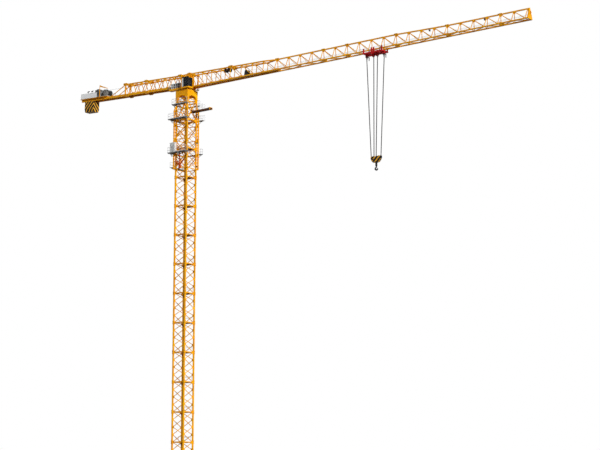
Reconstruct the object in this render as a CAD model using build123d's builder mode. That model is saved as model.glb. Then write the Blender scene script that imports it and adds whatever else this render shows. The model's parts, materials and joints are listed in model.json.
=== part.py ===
from build123d import *
import os
from math import atan2, cos, degrees, hypot, radians, sin

os.makedirs("parts", exist_ok=True)

# Flat-top tower crane as a 1:10 scale model, all sizes in millimetres.
# X runs along the jib, -Y is the cab side, Z is up from the base.

# Base and mast
base_plate = 20.0
foot_size = 104.0
base_beam = 44.0
anchor_inset = 18.0
anchor_radius = 3.0
mast_sections = 15
mast_pitch = 526.0
mast_span = 255.0
mast_chord = 24.0
mast_bar = 9.0
mast_bar_depth = 10.0
mast_ring = 14.0
mast_laces = 4

# Slewing support
leg_height = 390.0
leg_bar = 12.0
ring_box_height = 162.0
ring_box_margin = 2.0
arch_half_width = 100.0
arch_height = 62.0
arch_sides = 10
bearing_radius = 130.0
bearing_height = 6.0
ladder_well = 120.0
slew_gap = 0.5

# Climbing cage and its platforms
cage_span = 310.0
cage_post = 20.0
cage_bar = 12.0
cage_bar_depth = 10.0
cage_drop = 910.0
cage_rise = 186.0
cage_panels = 4
shoe_width = 20.0
shoe_height = 40.0
plate_thick = 6.0
walk_width = 73.0
upper_walk_width = 53.5
walk_end = 200.0
upper_walk_end = 160.0
upper_platform_drop = 98.0
ring_platform_rise = 14.0
main_platform_drop = 608.0
lower_platform_drop = 864.0
rail_height = 100.0
rail_bar = 3.5
rail_inset = 4.0
rail_corner_gap = 2.0
power_pack_length = 112.0
power_pack_depth = 52.0
power_pack_height = 180.0
power_pack_x = -140.0
ram_radius = 10.0
ram_length = 236.0
yoke_depth = 12.0
yoke_bar = 18.0
yoke_rise = 100.0
yoke_reach = 105.0
yoke_foot = 44.0
entry_reach = 440.0
entry_rail_width = 16.0
entry_rail_height = 32.0
entry_rail_offset = 24.0
entry_tie = 14.0
entry_hanger = 20.0

# Turntable, head and jib
turntable_length = 260.0
turntable_height = 20.5
jib_span = 124.0
jib_chord = 20.0
jib_bar = 9.0
truss_depth = 216.0
head_depth = 267.0
head_length = 160.0
jib_bay = 250.0
lean_run = 226.0
root_bays = 7
heel_bays = 4
heel_post = 216.0
heel_post_width = 14.0
neck_length = 250.0
neck_lap = 100.0
outer_bays = 20
taper_first_bay = 10
taper_bays = 4
taper_drop = 30.0
lacing_end_gap = 1.0
lacing_side_shift = 5.5
jib_tip_plate = 16.0
jib_end_run = 20.0
tip_sheave_radius = 24.0
tip_sheave_width = 10.0

# Counter-jib and its load
counter_truss = 1390.0
counter_length = 2490.0
counter_bays = 7
counter_depth = 232.0
counter_tilt = 2.4
girder_depth = 40.0
tie_bar = 12.0
tie_run = 385.0
deck_length = 690.0
deck_width = 240.0
slab_count = 5
slab_thick = 44.0
slab_gap = 2.0
slab_width = 156.0
slab_height = 202.0
slab_foot_width = 124.0
slab_foot_height = 60.0
slab_setback = 90.0
board_length = 415.0
board_height = 99.0
board_thick = 4.0
board_setback = 20.0
winch_length = 330.0
winch_width = 160.0
winch_base = 24.0
winch_setback = 330.0
drum_radius = 56.0
drum_length = 130.0
winch_motor_length = 140.0
winch_motor_height = 128.0
davit_radius = 6.0
davit_height = 230.0
davit_reach = 210.0
davit_dip = 80.0
davit_arm = 30.0
davit_tip = 10.0
davit_setback = 480.0
davit_inset = 20.0

# Cab and service deck
cab_length = 172.0
cab_width = 120.0
cab_height = 198.0
cab_wall = 5.0
cab_start = 30.0
cab_drop = 20.0
window_margin = 7.0
window_sill = 13.0
glass_thick = 3.0
service_length = 333.0
service_width = 80.0
service_thick = 20.0
cabinet_length = 215.0
cabinet_depth = 46.0
cabinet_height = 110.0
cabinet_setback = 20.0

# Trolley winch on the jib
jib_winch_x = 1410.0
jib_winch_length = 90.0
jib_winch_plate = 6.0
jib_winch_radius = 28.0
jib_winch_drum = 76.0
jib_winch_cheek = 6.0
jib_winch_stand = 46.0
jib_winch_foot = 84.0

# Trolley
trolley_x = 4160.0
trolley_length = 396.0
trolley_drop = 26.0
trolley_beam = 12.0
trolley_beam_height = 24.0
trolley_side_gap = 8.0
trolley_inner_drop = 90.0
sheave_width = 20.0
cheek_thick = 8.0
trolley_cross = 16.0
wheel_radius = 11.0
wheel_offset = 183.0
wheel_lap = 1.5
wheel_clearance = 0.5
wheel_bracket = 22.0
guide_offset = 22.0
trolley_sheave_radius = 24.0
sheave_hanger = 42.0
sheave_sides = 24

# Ropes, block and hook
rope_radius = 1.4
rope_gap = 0.5
rope_top_1 = -172.0
rope_top_2 = -40.0
rope_top_3 = 37.0
rope_top_4 = 172.0
rope_low_1 = -95.0
rope_low_2 = -42.0
rope_low_3 = 8.0
rope_low_4 = 88.0
hoist_drop = 1810.0
block_length = 206.0
block_height = 102.0
block_shoulder = 39.0
block_foot = 120.0
block_sheave_radius = 42.0
block_sheave_offset = 55.0
block_sheave_drop = 49.0
crosshead_length = 56.0
crosshead_height = 22.0
crosshead_drop = 7.0
shank_radius = 6.0
shank_clearance = 1.0
shank_length = 72.0
hook_neck_radius = 11.0
nut_radius = 9.0
nut_height = 8.0
hook_radius = 31.0
hook_throat = 14.0
hook_throat_rise = 4.0
hook_mouth = 6.0
hook_thick = 18.0

# Levels and derived positions
mast_half = mast_span / 2
mast_height = mast_sections * mast_pitch
mast_top = base_plate + mast_height
mast_mid = base_plate + mast_height / 2
mast_clear = mast_span - mast_chord
mast_outer = mast_half + mast_chord / 2
lace_height = mast_pitch / mast_laces
lace_length = hypot(mast_clear, lace_height) + mast_bar
lace_angle = degrees(atan2(lace_height, mast_clear))
lace_levels = [base_plate + lace_height * (i + 0.5) for i in range(mast_laces * mast_sections)]
ring_levels = [base_plate + mast_pitch * i for i in range(mast_sections + 1)]

leg_top = mast_top + leg_height
leg_mid = mast_top + leg_height / 2
box_half = mast_outer + ring_box_margin
bearing_base = leg_top + ring_box_height
bearing_top = bearing_base + bearing_height
turntable_base = bearing_top + slew_gap
turntable_deck = turntable_base + bearing_height
jib_base = turntable_deck + turntable_height

cage_half = cage_span / 2
cage_outer = cage_half + cage_post / 2
cage_clear = cage_span - cage_post
cage_base = mast_top - cage_drop
cage_top = mast_top + cage_rise
cage_height = cage_top - cage_base
cage_mid = (cage_base + cage_top) / 2
cage_panel = (cage_height - cage_bar) / cage_panels
cage_levels = [cage_base + cage_bar / 2 + cage_panel * i for i in range(cage_panels + 1)]
cage_diagonal = hypot(cage_span, cage_panel)
cage_angle = degrees(atan2(cage_panel, cage_span))
shoe_reach = cage_half - cage_bar_depth / 2 - mast_outer
upper_level = leg_top - upper_platform_drop
ring_level = mast_top + ring_platform_rise
main_level = mast_top - main_platform_drop
lower_level = mast_top - lower_platform_drop
upper_edge = mast_outer + upper_walk_width
walk_edge = cage_outer + walk_width
rail_line = walk_edge - rail_inset
upper_rail_line = upper_edge - rail_inset

jib_half = jib_span / 2
jib_inner = jib_half - jib_chord / 2
jib_outer = jib_half + jib_chord / 2
turntable_width = 2 * jib_outer
half_chord = jib_chord / 2
low_axis = jib_base + half_chord
top_axis = jib_base + truss_depth - half_chord
head_axis = jib_base + head_depth - half_chord
head_half = head_length / 2
root_end = head_half + root_bays * jib_bay
neck_end = root_end + neck_length
outer_start = neck_end - neck_lap
jib_end = neck_end + outer_bays * jib_bay + jib_end_run
taper_start = neck_end + taper_first_bay * jib_bay
taper_end = taper_start + taper_bays * jib_bay
tip_axis = top_axis - taper_drop
root_length = root_end - head_half
counter_lift = head_depth - counter_depth
counter_cos = cos(radians(counter_tilt))
counter_sin = sin(radians(counter_tilt))
counter_root = (-head_half, 0, jib_base + counter_lift)
counter_floor = Plane(
    origin=counter_root, x_dir=(counter_cos, 0, -counter_sin), z_dir=(counter_sin, 0, counter_cos)
)
counter_side = Plane(origin=counter_root, x_dir=(counter_cos, 0, -counter_sin), z_dir=(0, -1, 0))
counter_face = Plane(origin=counter_root, x_dir=(0, 1, 0), z_dir=(counter_cos, 0, -counter_sin))


def top_level(x):
    share = min(max((x - taper_start) / (taper_end - taper_start), 0.0), 1.0)
    return top_axis - taper_drop * share


def root_level(x):
    return head_axis + (top_axis - head_axis) * (x - head_half) / root_length


def bar_plane(start, end):
    axis = Vector(*end) - Vector(*start)
    return Plane(origin=start, x_dir=axis.cross(Vector(1, 0, 0)), z_dir=axis)


# Base: diagonal beams between four foot plates
anchor_line = mast_half + foot_size / 2 - anchor_inset
with BuildPart() as base_frame:
    with BuildSketch(Plane.XY):
        with GridLocations(mast_span, mast_span, 2, 2):
            Rectangle(foot_size, foot_size)
        Rectangle(hypot(mast_span, mast_span), base_beam, rotation=45)
        Rectangle(hypot(mast_span, mast_span), base_beam, rotation=-45)
        with GridLocations(2 * anchor_line, 2 * anchor_line, 2, 2):
            Circle(anchor_radius, mode=Mode.SUBTRACT)
    extrude(amount=base_plate)
base_frame.part.label = "base_frame"
export_step(base_frame.part, "parts/base_frame.step")

# Mast: two sides with the corner chords, two sides of zigzag lacing between them
with BuildPart() as mast_near_side:
    with BuildSketch(Plane.XZ.offset(mast_half)):
        with Locations(*[(0, z) for z in lace_levels[0::2]]):
            Rectangle(lace_length, mast_bar, rotation=lace_angle)
        with Locations(*[(0, z) for z in lace_levels[1::2]]):
            Rectangle(lace_length, mast_bar, rotation=-lace_angle)
        with Locations(*[(0, z) for z in ring_levels]):
            Rectangle(mast_span, mast_ring)
        with Locations((0, mast_mid)):
            Rectangle(mast_span, mast_height, mode=Mode.INTERSECT)
    extrude(amount=mast_bar_depth / 2, both=True)
    with Locations((-mast_half, -mast_half, mast_mid), (mast_half, -mast_half, mast_mid)):
        Box(mast_chord, mast_chord, mast_height)
mast_near_side.part.label = "mast_near_side"
export_step(mast_near_side.part, "parts/mast_near_side.step")

with BuildPart() as mast_far_side:
    add(mast_near_side.part.mirror(Plane.XZ))
mast_far_side.part.label = "mast_far_side"
export_step(mast_far_side.part, "parts/mast_far_side.step")

with BuildPart() as mast_jib_side:
    with BuildSketch(Plane.YZ.offset(mast_half)):
        with Locations(*[(0, z) for z in lace_levels[0::2]]):
            Rectangle(lace_length, mast_bar, rotation=-lace_angle)
        with Locations(*[(0, z) for z in lace_levels[1::2]]):
            Rectangle(lace_length, mast_bar, rotation=lace_angle)
        with Locations(*[(0, z) for z in ring_levels]):
            Rectangle(mast_span, mast_ring)
        with Locations((0, mast_mid)):
            Rectangle(mast_clear, mast_height, mode=Mode.INTERSECT)
    extrude(amount=mast_bar_depth / 2, both=True)
mast_jib_side.part.label = "mast_jib_side"
export_step(mast_jib_side.part, "parts/mast_jib_side.step")

with BuildPart() as mast_rear_side:
    add(mast_jib_side.part.mirror(Plane.YZ))
mast_rear_side.part.label = "mast_rear_side"
export_step(mast_rear_side.part, "parts/mast_rear_side.step")

# Slewing support: legs with cross bracing, then the arched box and lower bearing ring
leg_diagonal = hypot(mast_span, leg_height)
leg_angle = degrees(atan2(leg_height, mast_span))
with BuildPart() as slew_support_legs:
    with BuildSketch(
        Plane.XZ.offset(mast_half),
        Plane.XZ.offset(-mast_half),
        Plane.YZ.offset(mast_half),
        Plane.YZ.offset(-mast_half),
    ):
        with Locations((0, leg_mid)):
            Rectangle(leg_diagonal, leg_bar, rotation=leg_angle)
            Rectangle(leg_diagonal, leg_bar, rotation=-leg_angle)
        with Locations((0, mast_top + leg_bar / 2), (0, leg_top - leg_bar / 2)):
            Rectangle(mast_span, leg_bar)
        with Locations((0, leg_mid)):
            Rectangle(mast_span, leg_height, mode=Mode.INTERSECT)
    extrude(amount=mast_bar_depth / 2, both=True)
    with Locations((0, 0, leg_mid)):
        with GridLocations(mast_span, mast_span, 2, 2):
            Box(mast_chord, mast_chord, leg_height)
slew_support_legs.part.label = "slew_support_legs"
export_step(slew_support_legs.part, "parts/slew_support_legs.step")

arch_turns = [180 * i / arch_sides for i in range(arch_sides + 1)]
arch_points = [
    (arch_half_width * cos(radians(t)), leg_top + arch_height * sin(radians(t))) for t in arch_turns
]
with BuildPart() as slew_ring_box:
    with Locations((0, 0, leg_top)):
        Box(2 * box_half, 2 * box_half, ring_box_height, align=(Align.CENTER, Align.CENTER, Align.MIN))
    with Locations((0, 0, bearing_base)):
        Cylinder(bearing_radius, bearing_height, align=(Align.CENTER, Align.CENTER, Align.MIN))
    with BuildSketch(Plane.XZ, Plane.YZ):
        with BuildLine():
            Polyline(*arch_points, close=True)
        make_face()
    extrude(amount=box_half, both=True, mode=Mode.SUBTRACT)
    with Locations((0, 0, leg_top)):
        Box(
            ladder_well,
            ladder_well,
            ring_box_height + bearing_height,
            align=(Align.CENTER, Align.CENTER, Align.MIN),
            mode=Mode.SUBTRACT,
        )
slew_ring_box.part.label = "slew_ring_box"
export_step(slew_ring_box.part, "parts/slew_ring_box.step")

# Climbing cage: near and far sides with posts and guide shoes, rear lacing, open jib side
near_slopes = [(0, (cage_levels[i] + cage_levels[i + 1]) / 2) for i in range(0, cage_panels, 2)]
far_slopes = [(0, (cage_levels[i] + cage_levels[i + 1]) / 2) for i in range(1, cage_panels, 2)]
shoe_levels = [cage_levels[0], cage_levels[cage_panels // 2], cage_levels[cage_panels]]
shoe_y = mast_outer + shoe_reach / 2
with BuildPart() as cage_near_side:
    with BuildSketch(Plane.XZ.offset(cage_half)):
        with Locations(*near_slopes):
            Rectangle(cage_diagonal, cage_bar, rotation=cage_angle)
        with Locations(*far_slopes):
            Rectangle(cage_diagonal, cage_bar, rotation=-cage_angle)
        with Locations(*[(0, z) for z in cage_levels]):
            Rectangle(cage_span, cage_bar)
        with Locations(*[(x, z) for x in (-mast_half, mast_half) for z in shoe_levels]):
            Rectangle(shoe_width, shoe_height)
        with Locations((0, cage_mid)):
            Rectangle(cage_span, cage_height, mode=Mode.INTERSECT)
    extrude(amount=cage_bar_depth / 2, both=True)
    with Locations(*[(x, -shoe_y, z) for x in (-mast_half, mast_half) for z in shoe_levels]):
        Box(shoe_width, shoe_reach, cage_bar)
    with Locations((-cage_half, -cage_half, cage_mid), (cage_half, -cage_half, cage_mid)):
        Box(cage_post, cage_post, cage_height)
cage_near_side.part.label = "cage_near_side"
export_step(cage_near_side.part, "parts/cage_near_side.step")

with BuildPart() as cage_far_side:
    add(cage_near_side.part.mirror(Plane.XZ))
cage_far_side.part.label = "cage_far_side"
export_step(cage_far_side.part, "parts/cage_far_side.step")

with BuildPart() as cage_rear_side:
    with BuildSketch(Plane.YZ.offset(-cage_half)):
        with Locations(*near_slopes):
            Rectangle(cage_diagonal, cage_bar, rotation=cage_angle)
        with Locations(*far_slopes):
            Rectangle(cage_diagonal, cage_bar, rotation=-cage_angle)
        with Locations(*[(0, z) for z in cage_levels]):
            Rectangle(cage_span, cage_bar)
        with Locations((0, cage_mid)):
            Rectangle(cage_clear, cage_height, mode=Mode.INTERSECT)
    extrude(amount=cage_bar_depth / 2, both=True)
cage_rear_side.part.label = "cage_rear_side"
export_step(cage_rear_side.part, "parts/cage_rear_side.step")

with BuildPart() as cage_open_side:
    with BuildSketch(Plane.YZ.offset(cage_half)):
        with Locations((0, cage_levels[0]), (0, cage_levels[cage_panels])):
            Rectangle(cage_clear, cage_bar)
    extrude(amount=cage_bar_depth / 2, both=True)
cage_open_side.part.label = "cage_open_side"
export_step(cage_open_side.part, "parts/cage_open_side.step")

# Platforms on three sides of the cage and the slewing support, open towards the jib
with BuildPart() as upper_platform:
    with BuildSketch(Plane.XY.offset(upper_level)):
        with Locations((-upper_edge, 0)):
            Rectangle(upper_edge + upper_walk_end, 2 * upper_edge, align=(Align.MIN, Align.CENTER))
        with Locations((-mast_outer, 0)):
            Rectangle(
                2 * upper_edge, 2 * mast_outer, align=(Align.MIN, Align.CENTER), mode=Mode.SUBTRACT
            )
    extrude(amount=-plate_thick)
upper_platform.part.label = "upper_platform"
export_step(upper_platform.part, "parts/upper_platform.step")

with BuildPart() as ring_platform:
    with BuildSketch(Plane.XY.offset(ring_level)):
        with Locations((-walk_edge, 0)):
            Rectangle(walk_edge + walk_end, 2 * walk_edge, align=(Align.MIN, Align.CENTER))
        with Locations((-cage_outer, 0)):
            Rectangle(2 * walk_edge, 2 * cage_outer, align=(Align.MIN, Align.CENTER), mode=Mode.SUBTRACT)
    extrude(amount=-plate_thick)
ring_platform.part.label = "ring_platform"
export_step(ring_platform.part, "parts/ring_platform.step")

with BuildPart() as main_platform:
    with BuildSketch(Plane.XY.offset(main_level)):
        with Locations((-walk_edge, 0)):
            Rectangle(walk_edge + walk_end, 2 * walk_edge, align=(Align.MIN, Align.CENTER))
        with Locations((-cage_outer, 0)):
            Rectangle(2 * walk_edge, 2 * cage_outer, align=(Align.MIN, Align.CENTER), mode=Mode.SUBTRACT)
    extrude(amount=-plate_thick)
main_platform.part.label = "main_platform"
export_step(main_platform.part, "parts/main_platform.step")

with BuildPart() as lower_platform:
    with BuildSketch(Plane.XY.offset(lower_level)):
        with Locations((-cage_outer - walk_width / 2, 0)):
            Rectangle(walk_width, 2 * cage_outer)
    extrude(amount=-plate_thick)
lower_platform.part.label = "lower_platform"
export_step(lower_platform.part, "parts/lower_platform.step")

# Railings: posts and two rails along the three outer edges of each platform
walk_rail = walk_end - rail_inset + rail_line
walk_posts = [walk_rail * i / 3 - rail_line for i in range(4)]
rear_rail = 2 * rail_line - rail_bar - 2 * rail_corner_gap
rear_posts = (-rail_line / 3, rail_line / 3)
with BuildPart() as ring_railing:
    with BuildSketch(Plane.XZ.offset(rail_line), Plane.XZ.offset(-rail_line)):
        with Locations(
            (-rail_line, ring_level + rail_height / 2), (-rail_line, ring_level + rail_height - rail_bar / 2)
        ):
            Rectangle(walk_rail, rail_bar, align=(Align.MIN, Align.CENTER))
        with Locations(*[(x, ring_level + rail_height / 2) for x in walk_posts]):
            Rectangle(rail_bar, rail_height)
    extrude(amount=rail_bar / 2, both=True)
    with BuildSketch(Plane.YZ.offset(-rail_line)):
        with Locations((0, ring_level + rail_height / 2), (0, ring_level + rail_height - rail_bar / 2)):
            Rectangle(rear_rail, rail_bar)
        with Locations(*[(y, ring_level + rail_height / 2) for y in rear_posts]):
            Rectangle(rail_bar, rail_height)
    extrude(amount=rail_bar / 2, both=True)
ring_railing.part.label = "ring_railing"
export_step(ring_railing.part, "parts/ring_railing.step")

with BuildPart() as main_railing:
    with BuildSketch(Plane.XZ.offset(rail_line), Plane.XZ.offset(-rail_line)):
        with Locations(
            (-rail_line, main_level + rail_height / 2), (-rail_line, main_level + rail_height - rail_bar / 2)
        ):
            Rectangle(walk_rail, rail_bar, align=(Align.MIN, Align.CENTER))
        with Locations(*[(x, main_level + rail_height / 2) for x in walk_posts]):
            Rectangle(rail_bar, rail_height)
    extrude(amount=rail_bar / 2, both=True)
    with BuildSketch(Plane.YZ.offset(-rail_line)):
        with Locations((0, main_level + rail_height / 2), (0, main_level + rail_height - rail_bar / 2)):
            Rectangle(rear_rail, rail_bar)
        with Locations(*[(y, main_level + rail_height / 2) for y in rear_posts]):
            Rectangle(rail_bar, rail_height)
    extrude(amount=rail_bar / 2, both=True)
main_railing.part.label = "main_railing"
export_step(main_railing.part, "parts/main_railing.step")

upper_rail = upper_walk_end - rail_inset + upper_rail_line
upper_posts = [upper_rail * i / 3 - upper_rail_line for i in range(4)]
upper_rear_rail = 2 * upper_rail_line - rail_bar - 2 * rail_corner_gap
upper_rear_posts = (-upper_rail_line / 3, upper_rail_line / 3)
with BuildPart() as upper_railing:
    with BuildSketch(Plane.XZ.offset(upper_rail_line), Plane.XZ.offset(-upper_rail_line)):
        with Locations(
            (-upper_rail_line, upper_level + rail_height / 2),
            (-upper_rail_line, upper_level + rail_height - rail_bar / 2),
        ):
            Rectangle(upper_rail, rail_bar, align=(Align.MIN, Align.CENTER))
        with Locations(*[(x, upper_level + rail_height / 2) for x in upper_posts]):
            Rectangle(rail_bar, rail_height)
    extrude(amount=rail_bar / 2, both=True)
    with BuildSketch(Plane.YZ.offset(-upper_rail_line)):
        with Locations((0, upper_level + rail_height / 2), (0, upper_level + rail_height - rail_bar / 2)):
            Rectangle(upper_rear_rail, rail_bar)
        with Locations(*[(y, upper_level + rail_height / 2) for y in upper_rear_posts]):
            Rectangle(rail_bar, rail_height)
    extrude(amount=rail_bar / 2, both=True)
upper_railing.part.label = "upper_railing"
export_step(upper_railing.part, "parts/upper_railing.step")

lower_reach = cage_outer - rail_inset
lower_posts = [lower_reach * i / 3 for i in (-3, -1, 1, 3)]
with BuildPart() as lower_railing:
    with BuildSketch(Plane.YZ.offset(-rail_line)):
        with Locations((0, lower_level + rail_height / 2), (0, lower_level + rail_height - rail_bar / 2)):
            Rectangle(2 * lower_reach + rail_bar, rail_bar)
        with Locations(*[(y, lower_level + rail_height / 2) for y in lower_posts]):
            Rectangle(rail_bar, rail_height)
    extrude(amount=rail_bar / 2, both=True)
lower_railing.part.label = "lower_railing"
export_step(lower_railing.part, "parts/lower_railing.step")

# Climbing gear: hydraulic power pack, ram with its yoke, section entry beam
with BuildPart() as power_pack:
    with Locations((power_pack_x, -cage_outer, main_level)):
        Box(
            power_pack_length,
            power_pack_depth,
            power_pack_height,
            align=(Align.CENTER, Align.MAX, Align.MIN),
        )
power_pack.part.label = "power_pack"
export_step(power_pack.part, "parts/power_pack.step")

ram_base = main_level - plate_thick - ram_length
yoke_length = hypot(yoke_reach, yoke_rise)
yoke_angle = degrees(atan2(yoke_rise, yoke_reach))
ram_y = -cage_outer - yoke_depth / 2
cage_front = cage_half + cage_bar_depth / 2
with BuildPart() as climbing_ram:
    with BuildSketch(Plane.XZ.offset(cage_outer)):
        with Locations((yoke_reach / 2, ram_base + yoke_rise / 2)):
            Rectangle(yoke_length, yoke_bar, rotation=yoke_angle)
        with Locations((-yoke_reach / 2, ram_base + yoke_rise / 2)):
            Rectangle(yoke_length, yoke_bar, rotation=-yoke_angle)
    extrude(amount=yoke_depth)
    with Locations((0, ram_y, ram_base)):
        Cylinder(ram_radius, ram_length, align=(Align.CENTER, Align.CENTER, Align.MIN))
    with Locations((0, -cage_front, cage_base)):
        Box(
            yoke_foot,
            cage_outer + yoke_depth - cage_front,
            ram_base + yoke_bar / 2 - cage_base,
            align=(Align.CENTER, Align.MAX, Align.MIN),
        )
climbing_ram.part.label = "climbing_ram"
export_step(climbing_ram.part, "parts/climbing_ram.step")

entry_start = cage_half - cage_post / 2
entry_mid = entry_start + entry_reach / 2
entry_top = cage_top - cage_bar - entry_hanger
with BuildPart() as entry_beam:
    with BuildSketch(Plane.XY.offset(entry_top)):
        with Locations((entry_mid, entry_rail_offset), (entry_mid, -entry_rail_offset)):
            Rectangle(entry_reach, entry_rail_width)
        with Locations(
            (entry_start + entry_tie / 2, 0),
            (entry_mid, 0),
            (entry_start + entry_reach - entry_tie / 2, 0),
        ):
            Rectangle(entry_tie, 2 * entry_rail_offset)
    extrude(amount=-entry_rail_height)
    with Locations((cage_half, entry_rail_offset, entry_top), (cage_half, -entry_rail_offset, entry_top)):
        Box(
            cage_bar_depth,
            entry_rail_width,
            entry_hanger,
            align=(Align.CENTER, Align.CENTER, Align.MIN),
        )
entry_beam.part.label = "entry_beam"
export_step(entry_beam.part, "parts/entry_beam.step")

# Turntable: upper bearing ring and slewing platform
with BuildPart() as turntable:
    with Locations((0, 0, turntable_base)):
        Cylinder(bearing_radius, bearing_height, align=(Align.CENTER, Align.CENTER, Align.MIN))
    with Locations((0, 0, turntable_deck)):
        Box(
            turntable_length,
            turntable_width,
            turntable_height,
            align=(Align.CENTER, Align.CENTER, Align.MIN),
        )
turntable.part.label = "turntable"
export_step(turntable.part, "parts/turntable.step")

# Head frame on the turntable, between jib and counter-jib
head_post = head_half - half_chord
head_slope = hypot(head_length - 2 * jib_chord, head_depth - 2 * jib_chord)
head_angle = degrees(atan2(head_depth - 2 * jib_chord, head_length - 2 * jib_chord))
with BuildPart() as tower_head:
    with BuildSketch(Plane.XZ.offset(jib_half), Plane.XZ.offset(-jib_half)):
        with Locations((0, jib_base + head_depth / 2)):
            Rectangle(head_length, head_depth)
            Rectangle(head_length - 2 * jib_chord, head_depth - 2 * jib_chord, mode=Mode.SUBTRACT)
            Rectangle(head_slope, jib_chord, rotation=head_angle)
    extrude(amount=half_chord, both=True)
    with Locations(*[(x, 0, z) for x in (-head_post, head_post) for z in (low_axis, head_axis)]):
        Box(jib_chord, jib_span, jib_chord)
tower_head.part.label = "tower_head"
export_step(tower_head.part, "parts/tower_head.step")

# Jib root: rectangular truss with two top chords
low_root_length = outer_start - head_half
return_run = jib_bay - lean_run
root_drop = head_axis - top_axis
root_slope = hypot(root_length, root_drop)
root_angle = degrees(atan2(root_drop, root_length))
heel_rise = root_level(heel_post) - low_axis
inner_joint = head_half + heel_bays * jib_bay
heel_bay = (inner_joint - heel_post) / heel_bays
root_posts = [head_half]
root_posts += [heel_post + heel_bay * i for i in range(heel_bays)]
root_posts += [inner_joint + jib_bay * i for i in range(root_bays - heel_bays + 1)]
with BuildPart() as jib_root_near_side:
    with BuildSketch(Plane.XZ.offset(jib_half)):
        for start_x, end_x in zip(root_posts, root_posts[1:]):
            foot_x = end_x - return_run
            start_rise = root_level(start_x) - low_axis
            end_rise = root_level(end_x) - low_axis
            lean_turn = degrees(atan2(start_rise, foot_x - start_x))
            return_turn = degrees(atan2(end_rise, return_run))
            with Locations(((start_x + foot_x) / 2, low_axis + start_rise / 2)):
                Rectangle(hypot(foot_x - start_x, start_rise), jib_bar, rotation=-lean_turn)
            with Locations(((foot_x + end_x) / 2, low_axis + end_rise / 2)):
                Rectangle(hypot(return_run, end_rise), jib_bar, rotation=return_turn)
        with Locations((heel_post, low_axis)):
            Rectangle(heel_post_width, heel_rise, align=(Align.CENTER, Align.MIN))
        with Locations((head_half, jib_base)):
            Rectangle(root_length, head_depth, align=(Align.MIN, Align.MIN), mode=Mode.INTERSECT)
    extrude(amount=jib_bar / 2, both=True)
    with BuildSketch(Plane.XZ.offset(jib_half)):
        with Locations((head_half + root_length / 2, (head_axis + top_axis) / 2)):
            Rectangle(root_slope + jib_chord, jib_chord, rotation=-root_angle)
        with Locations((head_half, jib_base)):
            Rectangle(root_length, 2 * head_depth, align=(Align.MIN, Align.MIN), mode=Mode.INTERSECT)
    extrude(amount=half_chord, both=True)
    with Locations((head_half + low_root_length / 2, -jib_half, low_axis)):
        Box(low_root_length, jib_chord, jib_chord)
jib_root_near_side.part.label = "jib_root_near_side"
export_step(jib_root_near_side.part, "parts/jib_root_near_side.step")

with BuildPart() as jib_root_far_side:
    add(jib_root_near_side.part.mirror(Plane.XZ))
jib_root_far_side.part.label = "jib_root_far_side"
export_step(jib_root_far_side.part, "parts/jib_root_far_side.step")

# Top lacing of the root, a zigzag between the two top chords
zig_width = 2 * jib_inner - jib_bar
root_bay = root_slope / root_bays
root_zig = hypot(root_bay / 2, zig_width)
root_zig_angle = degrees(atan2(zig_width, root_bay / 2))
root_zigs = [root_bay * (i + 0.5) / 2 for i in range(2 * root_bays)]
root_top_plane = Plane(
    origin=(head_half, 0, head_axis), x_dir=(root_length, 0, -root_drop), z_dir=(root_drop, 0, root_length)
)
with BuildPart() as jib_root_top_bracing:
    with BuildSketch(root_top_plane):
        with Locations(*[(x, 0) for x in root_zigs[0::2]]):
            Rectangle(root_zig + jib_bar, jib_bar, rotation=root_zig_angle)
        with Locations(*[(x, 0) for x in root_zigs[1::2]]):
            Rectangle(root_zig + jib_bar, jib_bar, rotation=-root_zig_angle)
        with Locations((lacing_end_gap, 0)):
            Rectangle(
                root_slope - 2 * lacing_end_gap,
                2 * jib_inner,
                align=(Align.MIN, Align.CENTER),
                mode=Mode.INTERSECT,
            )
    extrude(amount=jib_bar / 2, both=True)
jib_root_top_bracing.part.label = "jib_root_top_bracing"
export_step(jib_root_top_bracing.part, "parts/jib_root_top_bracing.step")

# Single top chord of the outer jib, forked at its inner end
fork_length = hypot(neck_length, jib_half)
fork_angle = degrees(atan2(jib_half, neck_length))
with BuildPart() as jib_top_chord:
    with BuildSketch(Plane.XZ):
        with BuildLine():
            Polyline(
                (neck_end - jib_chord, top_axis - half_chord),
                (taper_start, top_axis - half_chord),
                (taper_end, tip_axis - half_chord),
                (jib_end, tip_axis - half_chord),
                (jib_end, tip_axis + half_chord),
                (taper_end, tip_axis + half_chord),
                (taper_start, top_axis + half_chord),
                (neck_end - jib_chord, top_axis + half_chord),
                close=True,
            )
        make_face()
    extrude(amount=half_chord, both=True)
    with BuildSketch(Plane.XY.offset(top_axis)):
        with Locations((root_end + neck_length / 2, -jib_half / 2)):
            Rectangle(fork_length + jib_chord, jib_chord, rotation=fork_angle)
        with Locations((root_end + neck_length / 2, jib_half / 2)):
            Rectangle(fork_length + jib_chord, jib_chord, rotation=-fork_angle)
        with Locations((root_end, 0)):
            Rectangle(neck_length, 2 * jib_outer, align=(Align.MIN, Align.CENTER), mode=Mode.INTERSECT)
    extrude(amount=half_chord, both=True)
jib_top_chord.part.label = "jib_top_chord"
export_step(jib_top_chord.part, "parts/jib_top_chord.step")

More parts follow.
